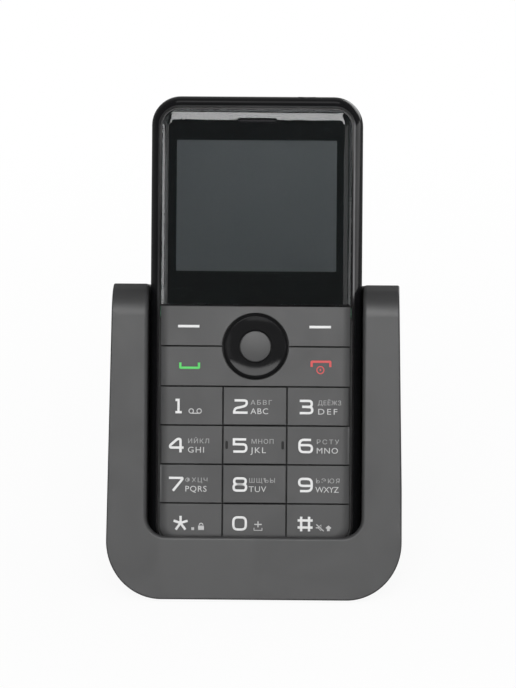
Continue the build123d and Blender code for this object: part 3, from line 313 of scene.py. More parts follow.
def mouldedPlastic(name, dark, light, clean, smudged, grainScale, grainDepth, gloss=0.5):
    material, tree, shader, place = startMaterial(name)
    grain = addGroup(tree, grainGroup, place, Grain_Scale=grainScale, Depth=grainDepth)
    addColour(tree, shader, grain.outputs["Mottle"], dark, light)
    addSmudge(tree, shader, place, Clean=clean, Smudged=smudged)
    setInputs(shader, {"Specular IOR Level": gloss})
    addBump(tree, shader, grain.outputs["Height"], bumpDepth["plastic"])
    return material


def brushedMetal(name, dark, light, roughness, stretch, depth=bumpDepth["metal"], worn=0.12):
    material, tree, shader, place = startMaterial(name)
    brush = addGroup(tree, brushGroup, place, Stretch=stretch)
    addColour(tree, shader, brush.outputs["Lines"], dark, light)
    addSmudge(tree, shader, place, Clean=roughness, Smudged=roughness + worn)
    setInputs(shader, {"Metallic": 1})
    addBump(tree, shader, brush.outputs["Lines"], depth)
    return material


def printedInk(name, dark, light, gloss=0.4, roughness=0.55, grainScale=6000, grainDepth=0.2):
    material, tree, shader, place = startMaterial(name)
    grain = addGroup(tree, grainGroup, place, Grain_Scale=grainScale, Depth=grainDepth)
    addColour(tree, shader, grain.outputs["Mottle"], dark, light)
    setInputs(shader, {"Roughness": roughness, "Specular IOR Level": gloss})
    addBump(tree, shader, grain.outputs["Height"], bumpDepth["ink"])
    return material


def clearPane(name, tint, bending, clean, smudged, smudgeScale):
    material, tree, shader, place = startMaterial(name)
    addSmudge(tree, shader, place, Clean=clean, Smudged=smudged, Smudge_Scale=smudgeScale)
    setInputs(shader, {"Transmission Weight": 1, "IOR": bending, "Base Color": (*tint, 1)})
    return material


def squaredPanel(name, pattern, first, second, lines, clean, smudged, gloss=0.5, turned=0.0,
                 offset=0.5):
    material, tree, shader, place = startMaterial(name)
    grid = addNode(tree, "ShaderNodeTexBrick", Color1=(*first, 1), Color2=(*second, 1),
                   Mortar=(*lines, 1), **pattern)
    grid.offset = offset
    if turned:
        turn = addNode(tree, "ShaderNodeMapping", Rotation=(math.radians(turned), 0, 0))
        tree.links.new(place, turn.inputs["Vector"])
        tree.links.new(turn.outputs["Vector"], grid.inputs["Vector"])
    else:
        tree.links.new(place, grid.inputs["Vector"])
    addSmudge(tree, shader, place, Clean=clean, Smudged=smudged)
    tree.links.new(grid.outputs["Color"], shader.inputs["Base Color"])
    setInputs(shader, {"Specular IOR Level": gloss})
    return material


screenPattern = {"Scale": 1000, "Brick_Width": 0.26, "Row_Height": 0.26, "Mortar_Size": 0.02}
boardPattern = {"Scale": 260, "Mortar_Size": 0.012}

# Plastics: two colours, clean and smudged roughness, grain scale and depth, gloss.
# Metals: two colours, roughness, stretch of the brush lines, their depth. Inks: two colours,
# gloss. Clear panes: tint, bending of light, roughness as for plastics, scale of the smudges.
# Squared panels: pattern, two colours, line colour, roughness, gloss, degrees turned, offset.
finish = {
    "housing": mouldedPlastic("housingGlossBlack", (0.004, 0.004, 0.0045), (0.008, 0.008, 0.009),
                              0.12, 0.2, 9000, 0.1, 0.35),
    "cover": mouldedPlastic("coverSatinBlack", (0.007, 0.007, 0.008), (0.013, 0.013, 0.014),
                            0.32, 0.45, 9000, 0.6),
    "trim": brushedMetal("trimSatinSteel", (0.17, 0.17, 0.175), (0.25, 0.25, 0.255), 0.3,
                         (1, 1, 30), bumpDepth["trim"]),
    "lens": clearPane("lensClear", (0.86, 0.9, 0.92), 1.49, 0.01, 0.03, 45),
    "print": printedInk("lensPrintBlack", (0.0035, 0.0055, 0.0055), (0.006, 0.0085, 0.0085), 0.0),
    "mesh": brushedMetal("meshBlackened", (0.008, 0.008, 0.009), (0.016, 0.016, 0.017), 0.45,
                         (1, 1, 4)),
    "inner": mouldedPlastic("innerPlasticGrey", (0.02, 0.02, 0.022), (0.032, 0.032, 0.035),
                            0.45, 0.6, 7000, 0.8),
    "screen": squaredPanel("screenPanel", screenPattern, (0.028, 0.032, 0.034),
                           (0.026, 0.03, 0.033), (0.018, 0.021, 0.022), 0.3, 0.4, 0.36,
                           phone["lean"], 0.0),
    "board": squaredPanel("circuitBoardGreen", boardPattern, (0.012, 0.09, 0.04),
                          (0.016, 0.11, 0.05), (0.03, 0.2, 0.09), 0.28, 0.45),
    "flex": mouldedPlastic("flexAmber", (0.32, 0.11, 0.02), (0.42, 0.16, 0.03),
                           0.3, 0.4, 5000, 0.3),
    "keys": mouldedPlastic("keySatinGrey", (0.029, 0.029, 0.03), (0.034, 0.034, 0.035),
                           0.5, 0.57, 9000, 0.5, 0.88),
    "ring": mouldedPlastic("ringSatinBlack", (0.008, 0.008, 0.0085), (0.012, 0.012, 0.0125),
                           0.06, 0.1, 9000, 0.1, 0.12),
    "mat": mouldedPlastic("keypadMatBlack", (0.006, 0.006, 0.006), (0.011, 0.011, 0.011),
                          0.6, 0.75, 6000, 0.8),
    "domes": brushedMetal("domeFilmSilver", (0.5, 0.5, 0.5), (0.66, 0.66, 0.65), 0.3, (1, 1, 4)),
    "tin": brushedMetal("shieldTin", (0.5, 0.5, 0.49), (0.62, 0.62, 0.61), 0.32, (30, 1, 1)),
    "battery": mouldedPlastic("batteryWrapDark", (0.02, 0.024, 0.03), (0.03, 0.034, 0.042),
                              0.35, 0.5, 5000, 0.5),
    "gold": brushedMetal("contactGold", (0.62, 0.42, 0.14), (0.75, 0.53, 0.2), 0.22, (1, 1, 10)),
    "screws": brushedMetal("screwSteel", (0.32, 0.32, 0.33), (0.45, 0.45, 0.46), 0.3, (1, 1, 6)),
    "cradle": mouldedPlastic("cradleSatinGrey", (0.029, 0.029, 0.03), (0.034, 0.034, 0.035),
                             0.5, 0.57, 8000, 0.6, 0.88),
    "cradleBase": mouldedPlastic("cradleBaseGrey", (0.03, 0.03, 0.031), (0.042, 0.042, 0.043),
                                 0.5, 0.65, 5000, 1.0),
    "feet": mouldedPlastic("feetRubber", (0.012, 0.012, 0.012), (0.022, 0.022, 0.022),
                           0.75, 0.9, 4000, 1.2),
    "weight": brushedMetal("weightSteel", (0.3, 0.3, 0.31), (0.42, 0.42, 0.43), 0.4, (20, 1, 1)),
    "digitInk": printedInk("digitWhiteInk", (0.66, 0.66, 0.66), (0.73, 0.73, 0.73)),
    "latinInk": printedInk("letterGreyInk", (0.44, 0.44, 0.44), (0.52, 0.52, 0.52)),
    "dimInk": printedInk("letterDimInk", (0.28, 0.28, 0.28), (0.34, 0.34, 0.34)),
    "greenInk": printedInk("callGreenInk", (0.085, 0.56, 0.12), (0.12, 0.63, 0.15)),
    "redInk": printedInk("endRedInk", (0.56, 0.08, 0.08), (0.64, 0.1, 0.1)),
}
print("finishes made:", len(finish))

# The CAD nodes that stay as they are, by their finish
cadFinish = {
    "mesh": ["earpiece_mesh"],
    "inner": ["earpiece", "display_frame", "nav_carrier", "microphone", "loudspeaker", "antenna",
              "contact_block", "sim_holder", "headset_jack"],
    "screen": ["display_module"],
    "board": ["main_board", "cradle_board"],
    "flex": ["display_flex"],
    "mat": ["keypad_mat"],
    "domes": ["dome_sheet"],
    "tin": ["shield_cans", "usb_socket", "cradle_socket", "vibration_motor"],
    "battery": ["battery"],
    "gold": ["battery_contacts", "charging_pads", "contact_barrels", "contact_pin_left",
             "contact_pin_right"],
    "screws": ["housing_screws", "cradle_screws", "contact_springs"],
    "cradleBase": ["cradle_base"],
    "feet": ["cradle_feet"],
    "weight": ["cradle_weight", "vibration_weight"],
}
for finishName, nodeNames in cadFinish.items():
    for nodeName in nodeNames:
        cadNodes[nodeName].data.materials.clear()
        cadNodes[nodeName].data.materials.append(finish[finishName])
print("kept CAD nodes dressed")

mergeGap = 0.00001  # in metres, as the CAD nodes are modelled


def dressedShell(name, node, body, material):  # a CAD form with its shading smoothed
    shell = copyPiece(cadNodes[node], name)
    shell.parent = None
    for key in [key for key in shell.keys() if key.startswith("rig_")]:
        del shell[key]
    startEdit(shell, "VERT")
    bpy.ops.mesh.select_all(action="SELECT")
    bpy.ops.mesh.remove_doubles(threshold=mergeGap)
    endEdit(shell)
    smoothShade(shell)
    settle(shell, Matrix.Identity(4), body, material, [node])


dressedShell("cradleShell", "cradle_shell", "cradle", finish["cradle"])
dressedShell("rearHousing", "rear_housing", "phone", finish["housing"])
dressedShell("batteryCover", "battery_cover", "battery_cover", finish["cover"])
print("CAD shells dressed")


def phoneBlank(name, grow=0.0):  # the phone's outside form, for cutting others to it
    half = phone["width"] / 2 + grow
    solid = addBlock(name, (-half, -grow, -phone["depth"] - grow),
                     (half, phone["length"] + grow, grow))
    bevelEdges(solid, upright, phone["cornerRadius"] + grow, phone["roundingSteps"])
    top, bottom = grow - phone["faceReach"], -phone["depth"] - grow + phone["faceReach"]
    bevelEdges(solid, lambda a, b: a.z > top and b.z > top, phone["frontRounding"] + grow,
               phone["roundingSteps"])
    bevelEdges(solid, lambda a, b: a.z < bottom and b.z < bottom, phone["backRounding"] + grow,
               phone["roundingSteps"])
    return solid


def windowBlock(name, grow, low, high):  # a prism with the window's rounded outline
    half = window["width"] / 2 + grow
    block = addBlock(name, (-half, window["low"] - grow, low), (half, window["high"] + grow, high))
    bevelEdges(block, upright, window["cornerRadius"] + grow, window["cornerSteps"])
    return block


blank = phoneBlank("phoneBlank")

# Front housing: the glossy frame round the window, hollow behind
frontHousing = {"parting": 6.5, "wall": 1.85, "ledge": 2.0, "trimSeat": 1.7, "trimGrow": 1.04,
                "windowGrow": 0.35, "shelfTop": 1.35, "shelfFoot": 63.83, "screenWidth": 42.0,
                "screenLow": 72.5, "screenHigh": 107.0, "slotWidth": 10.1, "slotLow": 111.05,
                "slotHigh": 112.35, "through": 5, "below": 1}


def makeFrontHousing(size):
    through, halfWidth = size["through"], phone["width"] / 2
    shell = copyPiece(blank, "frontHousing")
    sliceOff(shell, (0, 0, -size["parting"]), (0, 0, -1))
    combine(shell, windowBlock("seatCut", size["trimGrow"], -size["trimSeat"], through),
            "DIFFERENCE")
    combine(shell, windowBlock("windowCut", size["windowGrow"], -size["ledge"] - size["below"],
                               through), "DIFFERENCE")
    inside = addBlock("insideCut",
                      (-halfWidth + size["wall"], size["wall"], -size["parting"] - size["below"]),
                      (halfWidth - size["wall"], phone["length"] - size["wall"], -size["ledge"]))
    bevelEdges(inside, upright, phone["cornerRadius"] - size["wall"], window["cornerSteps"])
    combine(shell, inside, "DIFFERENCE")
    shelf = windowBlock("lensShelf", size["windowGrow"], -size["ledge"], -size["shelfTop"])
    sliceOff(shelf, (0, size["shelfFoot"], 0), (0, -1, 0))
    for name, width, low, high in (
            ("screenCut", size["screenWidth"], size["screenLow"], size["screenHigh"]),
            ("slotCut", size["slotWidth"], size["slotLow"], size["slotHigh"])):
        combine(shelf, addBlock(name, (-width / 2, low, -through), (width / 2, high, through)),
                "DIFFERENCE")
    combine(shell, shelf, "UNION")
    smoothShade(shell)
    settle(shell, onPhone, "phone", finish["housing"], ["front_housing"])


makeFrontHousing(frontHousing)
print("front housing modelled")

# Trim: the thin bright ring round the window
trim = {"outerGrow": 1.02, "innerGrow": 0.58, "proud": 0.12, "seat": 1.7, "edge": 0.17,
        "through": 5, "beyond": 1}


def makeTrim(size):
    band = windowBlock("bezelTrim", size["outerGrow"], -size["seat"], size["through"])
    combine(band, windowBlock("trimHole", size["innerGrow"], -size["seat"] - size["beyond"],
                              size["through"] + size["beyond"]), "DIFFERENCE")
    combine(band, phoneBlank("raisedBlank", size["proud"]), "INTERSECT")
    softenEdges(band, size["edge"], angle=40)
    smoothShade(band)
    settle(band, onPhone, "phone", finish["trim"], ["bezel_trim"])


makeTrim(trim)
print("trim modelled")

# Lens: a clear crowned pane, with black print on its back round the screen
lens = {"foot": 64.385, "thickness": 1.3, "edge": 0.15, "slotWidth": 10.1, "slotHeight": 1.3,
        "slotMiddle": 111.7, "slotRounding": 0.98, "slotSteps": 8, "printDepth": 1.34,
        "printInset": 0.03, "printGap": 0.002, "screenWidth": 41.2, "screenLow": 72.9,
        "screenHigh": 106.6, "crownStart": 111.8, "crownRadius": 7.9, "crownSteps": 24,
        # sleeve and sleeveGap size the black sleeve of painted shade in the sound slot
        "sleeve": 0.15, "sleeveGap": 0.01, "skirt": 0.06, "skirtGap": 0.01, "skirtTop": 0.72,
        "through": 4, "above": 5}


def lensSlot(size, grow):
    half = size["slotHeight"] / 2 + grow
    slot = addBlock("slotCut",
                    (-size["slotWidth"] / 2 - grow, size["slotMiddle"] - half, -size["through"]),
                    (size["slotWidth"] / 2 + grow, size["slotMiddle"] + half, size["through"]))
    bevelEdges(slot, upright, half * size["slotRounding"], size["slotSteps"])
    return slot


def lensBlank(size):  # the pane before its slot is cut
    pane = windowBlock("displayLens", 0, -size["thickness"], size["above"])
    sliceOff(pane, (0, size["foot"], 0), (0, -1, 0))
    combine(pane, blank, "INTERSECT", keepTool=True)
    crownEnd = size["crownStart"] + size["crownRadius"]
    crown = addBlock("lensCrown", (-phone["width"], -phone["length"], -phone["depth"]),
                     (phone["width"], crownEnd, 0))
    bevelEdges(crown, lambda a, b: min(a.y, b.y) > crownEnd - nearly and min(a.z, b.z) > -nearly,
               size["crownRadius"], size["crownSteps"])
    combine(pane, crown, "INTERSECT")
    return pane


def makeSlotShade(size, pane):  # a black sleeve inside the sound slot: painted shade that keeps the slot dark
    sleeve = copyPiece(pane, "slotShadeSleeve")
    combine(sleeve, lensSlot(size, -size["sleeveGap"]), "INTERSECT")
    combine(sleeve, lensSlot(size, -size["sleeve"]), "DIFFERENCE")
    smoothShade(sleeve)
    settle(sleeve, onPhone, "phone", finish["print"])


def makePrint(size):  # black behind the pane, open over the screen, and a band round its edge
    ink = windowBlock("lensPrint", -size["printInset"], -size["printDepth"],
                      -size["thickness"] - size["printGap"])
    sliceOff(ink, (0, size["foot"] + size["printInset"], 0), (0, -1, 0))
    half = size["screenWidth"] / 2
    combine(ink, addBlock("screenHole", (-half, size["screenLow"], -size["through"]),
                          (half, size["screenHigh"], size["through"])), "DIFFERENCE")
    combine(ink, lensSlot(size, size["printInset"]), "DIFFERENCE")
    settle(ink, onPhone, "phone", finish["print"])
    skirt = windowBlock("lensSkirt", size["skirt"], -size["printDepth"], -size["skirtTop"])
    combine(skirt, windowBlock("skirtHole", size["skirtGap"], -size["above"], size["above"]),
            "DIFFERENCE")
    sliceOff(skirt, (0, size["foot"], 0), (0, -1, 0))
    settle(skirt, onPhone, "phone", finish["print"])


def makeLens(size):
    pane = lensBlank(size)
    # painted shade: a black sleeve darkens the sound slot
    makeSlotShade(size, pane)
    combine(pane, lensSlot(size, 0), "DIFFERENCE")
    softenEdges(pane, size["edge"])
    smoothShade(pane)
    settle(pane, onPhone, "phone", finish["lens"], ["display_lens"])
    makePrint(size)


makeLens(lens)
print("lens modelled")

# Keys: one cap cut for each place from the phone's own form, edges softened
keypad = {"thickness": 1.7, "gap": 0.35, "edge": 0.15, "rowPitch": 10.03, "digitsTop": 43.22,
          "callTop": 53.56, "keysTop": 63.98, "columnHalf": 8.25, "ringHole": 8.64,
          "holeSteps": 128, "holeDepth": 12, "through": 4, "above": 5}
tactile = {"width": 0.68, "height": 2.1, "proud": 0.15, "sunk": 0.4, "reach": 7.2,
           "rounding": 0.45, "steps": 5, "edge": 0.06}
keyRows = (("key_1", "key_2", "key_3"), ("key_4", "key_5", "key_6"),
           ("key_7", "key_8", "key_9"), ("key_star", "key_0", "key_hash"))
columnLines = (-(window["width"] + keypad["gap"]) / 2, -keypad["columnHalf"], keypad["columnHalf"],
               (window["width"] + keypad["gap"]) / 2)

padBlank = windowBlock("padBlank", 0, -keypad["thickness"], keypad["above"])
combine(padBlank, blank, "INTERSECT", keepTool=True)


def rowMiddle(row):  # how far up the phone the middle of a row lies, from the upper row down
    return keypad["digitsTop"] - (row + 0.5) * keypad["rowPitch"]


def keyCap(name, left, right, low, high):
    cap = addBlock(name, (left, low, -keypad["through"]), (right, high, keypad["through"]))
    combine(cap, padBlank, "INTERSECT", keepTool=True)
    return cap


def finishKey(cap, node, body):
    softenEdges(cap, keypad["edge"])
    smoothShade(cap)
    settle(cap, onPhone, body, finish["keys"], [node])


def makeDigitKeys(size):
    halfGap = size["gap"] / 2
    for row, names in enumerate(keyRows):
        high = size["digitsTop"] - row * size["rowPitch"] - halfGap
        low = high - size["rowPitch"] + size["gap"]
        if row == len(keyRows) - 1:
            low = window["low"]
        for column, node in enumerate(names):
            cap = keyCap(node + "Cap", columnLines[column] + halfGap,
                         columnLines[column + 1] - halfGap, low, high)
            finishKey(cap, node, node)


def makeBars(size):
    halfGap = size["gap"] / 2
    half = window["width"] / 2
    for name, node, low, high in (
            ("softKeyBar", "soft_key_bar", size["callTop"], size["keysTop"]),
            ("callKeyBar", "call_key_bar", size["digitsTop"], size["callTop"])):
        cap = keyCap(name, -half, half, low + halfGap, high - halfGap)
        combine(cap, addCylinder(size["holeSteps"], size["ringHole"], size["holeDepth"],
                                 (0, size["callTop"], 0)), "DIFFERENCE")
        finishKey(cap, node, node)


def makeTactileBars(size):  # the two small bars beside the middle digit
    middle, halfWidth, halfHeight = rowMiddle(1), size["width"] / 2, size["height"] / 2
    bars = []
    for side in (-1, 1):
        across = side * size["reach"]
        nib = addBlock("tactileBars", (across - halfWidth, middle - halfHeight, -size["sunk"]),
                       (across + halfWidth, middle + halfHeight, size["proud"]))
        bevelEdges(nib, upright, size["width"] * size["rounding"], size["steps"])
        softenEdges(nib, size["edge"], steps=2, angle=60)
        bars.append(nib)
    pair = joinPieces(bars)
    smoothShade(pair)
    settle(pair, onPhone, "key_5", finish["mat"])


makeDigitKeys(keypad)
makeBars(keypad)
makeTactileBars(tactile)
print("keys modelled")

# Navigation ring and centre key, both turned
turning = {"steps": 96, "point": 0.001, "merge": 0.005, "smoothing": 40}
ring = {"outer": 8.3, "inner": 4.2, "thickness": 1.2, "rimDepth": 0.06, "bowlCentre": 3.7,
        "bowl": 0.016, "bowlSteps": 16, "bowlOuter": 7.62, "bowlInner": 4.4, "edge": 0.1,
        "shoulder": 0.5, "footRadius": 0.4, "footReach": 5.2, "footLength": 0.2, "footSteps": 24}
centreKey = {"radius": 3.95, "dome": 0.35, "thickness": 1.7, "arcSteps": 10, "edge": 0.1}


def turnedPiece(name, profile, closed):  # grows a circle by extruding it along a profile
    deselectAll()
    radius, height = profile[0]
    bpy.ops.mesh.primitive_circle_add(vertices=turning["steps"], radius=radius,
                                      location=(0, keypad["callTop"], height))
    piece = bpy.context.object
    piece.name = name
    applyPlace(piece)
    startEdit(piece, "EDGE")
    bpy.ops.mesh.select_all(action="SELECT")
    for nextRadius, nextHeight in profile[1:] + (profile[:1] if closed else []):
        nextRadius = max(nextRadius, turning["point"])
        ratio = nextRadius / radius
        bpy.ops.mesh.extrude_edges_move(
            TRANSFORM_OT_translate={"value": (0, 0, nextHeight - height)})
        bpy.ops.transform.resize(value=(ratio, ratio, 1),
                                 center_override=(0, keypad["callTop"], nextHeight))
        radius, height = nextRadius, nextHeight
    bpy.ops.mesh.select_all(action="SELECT")
    bpy.ops.mesh.remove_doubles(threshold=turning["merge"])
    bpy.ops.mesh.normals_make_consistent(inside=False)
    endEdit(piece)
    return piece


def bowlProfile(size):  # the shallow dish of the ring's face, from its rim inward
    points = []
    for step in range(size["bowlSteps"] + 1):
        inward = (size["bowlInner"] - size["bowlOuter"]) * step / size["bowlSteps"]
        radius = size["bowlOuter"] + inward
        rise = size["bowl"] * (radius - size["bowlCentre"]) ** 2
        points.append((radius, rise - size["bowl"] * (size["bowlOuter"] - size["bowlCentre"]) ** 2
                       - size["rimDepth"]))
    return points


def makeRing(size):
    bowl = bowlProfile(size)
    top, low = bowl[0][1], bowl[-1][1]
    profile = [(size["outer"], -size["thickness"]),
               (size["outer"], top - size["shoulder"] - size["edge"]),
               (size["outer"] - size["edge"], top - size["shoulder"]),
               (size["bowlOuter"] + size["edge"], top - size["edge"] / 2), *bowl,
               (size["inner"], low - 2 * size["edge"]), (size["inner"], -size["thickness"])]
    piece = turnedPiece("navRing", profile, closed=True)
    for side in (-1, 1):
        middle = (0, keypad["callTop"] + side * size["footReach"],
                  -size["thickness"] - size["footLength"] / 2)
        joinPieces([piece, addCylinder(size["footSteps"], size["footRadius"], size["footLength"],
                                       middle)])
    smoothShade(piece, turning["smoothing"])
    settle(piece, onPhone, "nav_ring", finish["ring"], ["nav_ring"])


def makeCentreKey(size):
    radius = (size["radius"] ** 2 + size["dome"] ** 2) / (2 * size["dome"])
    profile = [(turning["point"], -size["thickness"]), (size["radius"], -size["thickness"]),
               (size["radius"], -size["dome"] - size["edge"])]
    reach = math.asin((size["radius"] - size["edge"]) / radius)
    for step in range(size["arcSteps"] + 1):
        turn = reach * (1 - step / size["arcSteps"])
        profile.append((radius * math.sin(turn), radius * math.cos(turn) - radius))
    piece = turnedPiece("okKey", profile, closed=False)
    smoothShade(piece, turning["smoothing"])
    settle(piece, onPhone, "ok_key", finish["keys"], ["ok_key"])


makeRing(ring)
makeCentreKey(centreKey)
print("ring and centre key modelled")

# Legends: strokes and letters in thin raised ink on the crowned faces
legend = {"digitX": (-20.15, -3.74, 13.12), "drop": 0.13, "digitHeight": 3.78, "digitWidth": 3.85,
          "stroke": 0.64, "round": 1.15, "slight": 0.3, "cornerSteps": 5, "inkHeight": 0.03,
          "inkSteps": 2, "latinHeight": 1.48, "latinDrop": -1.16, "upperHeight": 1.15,
          "upperRise": 1.08, "letterSteps": 3, "capShare": 0.7, "trialSpacing": 1.5, "thin": 0.25,
          "arcSteps": 14}
crownStart = phone["width"] / 2 - phone["frontRounding"]


def crownDrop(x):  # how far the crowned face has dropped at this place across
    over = max(abs(x) - crownStart, 0)
    return phone["frontRounding"] - math.sqrt(phone["frontRounding"] ** 2 - over ** 2)


def roundCorners(points, radius, steps):  # the end corners of a path may take its whole end leg
    path = [Vector(points[0])]
    for index in range(1, len(points) - 1):
        corner = Vector(points[index])
        back, ahead = Vector(points[index - 1]) - corner, Vector(points[index + 1]) - corner
        reach = min(radius, back.length / (1 if index == 1 else 2),
                    ahead.length / (1 if index == len(points) - 2 else 2))
        start, end = corner + back.normalized() * reach, corner + ahead.normalized() * reach
        for step in range(steps + 1):
            share = step / steps
            path.append(start.lerp(corner, share).lerp(corner.lerp(end, share), share))
    path.append(Vector(points[-1]))
    return path


def inkStroke(points, width, closed=False, radius=0.0):  # a flat ribbon along a path, as a mesh
    if closed:
        middle = (Vector(points[0]) + Vector(points[-1])) / 2
        points = [tuple(middle), *points, tuple(middle)]
    path = roundCorners(points, radius, legend["cornerSteps"]) if radius else [
        Vector(point) for point in points]
    if closed:
        path = path[:-1]
    line = bpy.data.curves.new("inkLine", "CURVE")
    line.dimensions = "3D"
    line.bevel_depth = width / 2
    line.bevel_resolution = legend["inkSteps"]
    line.use_fill_caps = True
    spline = line.splines.new("POLY")
    spline.points.add(len(path) - 1)
    for knot, place in zip(spline.points, path):
        knot.co = (place.x, place.y, 0, 1)
    spline.use_cyclic_u = closed
    stroke = bpy.data.objects.new("inkLine", line)
    bpy.context.collection.objects.link(stroke)
    takeUp(stroke)
    bpy.ops.object.convert(target="MESH")
    stroke = bpy.context.object
    stroke.data.transform(Matrix.Scale(legend["inkHeight"] / (width / 2), 4, (0, 0, 1)))
    return stroke


# Letters fitted to a width, half by stretching them and half by spacing them out
def inkLetters(text, height, width, left, middle):
    deselectAll()
    bpy.ops.object.text_add(location=(0, 0, 0))
    letters = bpy.context.object
    letters.data.body = text
    letters.data.size = height / legend["capShare"]
    letters.data.align_x = "LEFT"
    letters.data.align_y = "BOTTOM_BASELINE"
    letters.data.extrude = legend["inkHeight"]
    letters.data.resolution_u = legend["letterSteps"]
    bpy.context.view_layer.update()
    close, trial = letters.dimensions.x, legend["trialSpacing"]
    stretch = math.sqrt(width / close)
    letters.data.space_character = trial
    bpy.context.view_layer.update()
    letters.data.space_character = 1 + (trial - 1) * (width / stretch - close) / (
        letters.dimensions.x - close)
    bpy.ops.object.convert(target="MESH")
    letters = bpy.context.object
    letters.data.transform(Matrix.Translation((left, middle - height / 2, 0))
                           @ Matrix.Scale(stretch, 4, (1, 0, 0)))
    return letters


def joinInk(strokes, name, ink):
    joined = joinPieces(strokes)
    joined.name = name
    joined.data.materials.clear()
    joined.data.materials.append(ink)
    return joined


def layInk(groups, name, body):  # sets the joined legends on the crowned face of their key
    piece = joinPieces(groups)
    piece.name = name
    for corner in piece.data.vertices:
        corner.co.z -= crownDrop(corner.co.x)
    settle(piece, onPhone, body)


# Digit strokes in a box from -1 to 1 each way; each entry is a path and whether it is closed
digitStrokes = {
    "0": [([(-1, 1), (1, 1), (1, -1), (-1, -1)], True)],
    "1": [([(0.29, 1.2), (0.29, -1)], False), ([(-0.2, 1), (0.3, 1)], False),
          ([(-0.2, -1), (0.82, -1)], False)],
    "2": [([(-0.95, 1), (1, 1), (1, 0.2), (0.1, -0.1), (-1, -0.3), (-1, -1)], False),
          ([(-1.19, -1), (1.15, -1)], False)],
    "3": [([(-1, 1), (0.92, 1), (0.92, 0.03), (-0.62, 0.03)], False),
          ([(0.1, 0), (1, 0), (1, -1), (-1, -1)], False)],
    "4": [([(0.66, -1.2), (0.66, 1), (0.15, 1), (-1, -0.05), (-1, -0.42), (1.15, -0.42)], False)],
    "5": [([(0.95, 1), (-1.19, 1)], False), ([(-1, 1), (-1, 0.15)], False),
          ([(-1.19, 0.2), (1, 0.2), (1, -1), (-1.1, -1)], False)],
    "6": [([(0.85, 1), (-1, 1), (-1, -1), (1, -1), (1, 0.14), (-1, 0.14)], False)],
    "7": [([(-1.15, 1), (1.0, 1), (1.0, 0.8), (-0.5, -1.1)], False)],
    "8": [([(-0.92, 1), (0.92, 1), (0.92, 0.03), (-0.92, 0.03)], True),
          ([(-1, 0.03), (1, 0.03), (1, -1), (-1, -1)], True)],
    "9": [([(-0.85, -1), (1, -1), (1, 1), (-1, 1), (-1, -0.14), (1, -0.14)], False)],
    "#": [([(-0.63, 1.2), (-0.63, -1.2)], False), ([(0.63, 1.2), (0.63, -1.2)], False),
          ([(-1.2, 0.58), (1.2, 0.58)], False), ([(-1.2, -0.58), (1.2, -0.58)], False)],
}
# Sign, upper letters and their width, lower letters and their width, and how far right they start
keyLegends = {
    "key_1": ("1", "", 0, "", 0, 0), "key_2": ("2", "АБВГ", 5.5, "ABC", 4.55, 2.58),
    "key_3": ("3", "ДЕЁЖЗ", 6.0, "DEF", 4.9, 2.97), "key_4": ("4", "ИЙКЛ", 5.4, "GHI", 4.15, 2.85),
    "key_5": ("5", "МНОП", 5.65, "JKL", 4.0, 2.78), "key_6": ("6", "РСТУ", 5.75, "MNO", 5.45, 2.69),
    "key_7": ("7", "ФХЦЧ", 5.7, "PQRS", 5.45, 2.25), "key_8": ("8", "ШЩЪЫ", 6.6, "TUV", 4.5, 2.25),
    "key_9": ("9", "ЬЭЮЯ", 6.05, "WXYZ", 6.0, 2.58), "key_star": ("*", "", 0, "", 0, 0),
    "key_0": ("0", "", 0, "", 0, 0), "key_hash": ("#", "", 0, "", 0, 0),
}
star = {"shift": 1.22, "arms": (1.85, 1.9, 2.1, 2.1, 1.9), "upward": 90, "between": 72}


def drawDigit(sign, x, y):
    halfWidth = (legend["digitWidth"] - legend["stroke"]) / 2
    halfHeight = (legend["digitHeight"] - legend["stroke"]) / 2
    strokes = []
    if sign == "*":
        x += star["shift"]
        for arm, reach in enumerate(star["arms"]):
            turn = math.radians(star["upward"] + star["between"] * arm)
            tip = (x + reach * math.cos(turn), y + reach * math.sin(turn))
            strokes.append(inkStroke([(x, y), tip], legend["stroke"]))
        return strokes
    rounding = 0.0 if sign in "#1" else legend["slight"] if sign == "7" else legend["round"]
    for path, closed in digitStrokes[sign]:
        points = [(x + halfWidth * across, y + halfHeight * rise) for across, rise in path]
        strokes.append(inkStroke(points, legend["stroke"], closed,
                                 rounding if len(path) > 2 else 0.0))
    return strokes


def drawArc(x, y, radius, end, width):
    steps = legend["arcSteps"]
    turns = [math.radians(end * step / steps) for step in range(steps + 1)]
    points = [(x + radius * math.cos(turn), y + radius * math.sin(turn)) for turn in turns]
    return inkStroke(points, width)


# Small signs beside 1, star, 0 and hash: an arc is its middle, radius, end angle and width,
# and a line is its path and width
thin = legend["thin"]
keySigns = {
    "key_1": [((3.75, -1.25), 0.58, 360, thin), ((5.8, -1.25), 0.58, 360, thin),
              (((3.75, -1.83), (5.8, -1.83)), thin)],
    "key_star": [(((4.0, -1.45), (4.72, -1.45)), 0.72), (((5.75, -1.2), (7.25, -1.2)), 1.25),
                 ((6.5, -0.5), 0.48, 180, thin)],
    "key_0": [(((3.8, -0.2), (5.7, -0.2)), 0.3), (((4.75, 0.6), (4.75, -0.95)), 0.3),
              (((3.72, -1.1), (3.72, -1.72), (5.78, -1.72), (5.78, -1.1)), thin)],
    "key_hash": [(((2.75, -0.95), (3.35, -0.95), (4.1, -0.2), (4.1, -1.7), (3.35, -0.95)), thin),
                 (((2.9, -0.1), (4.8, -1.8)), thin),
                 (((5.4, -1.1), (6.0, -0.5), (6.6, -1.1)), 0.42),
                 (((6.0, -0.6), (6.0, -1.78)), 0.75)],
}


def drawSigns(node, x, y):
    strokes = []
    for path, *sizes in keySigns[node]:
        if len(sizes) > 1:
            strokes.append(drawArc(x + path[0], y + path[1], *sizes))
        else:
            strokes.append(inkStroke([(x + across, y + rise) for across, rise in path], *sizes))
    return strokes


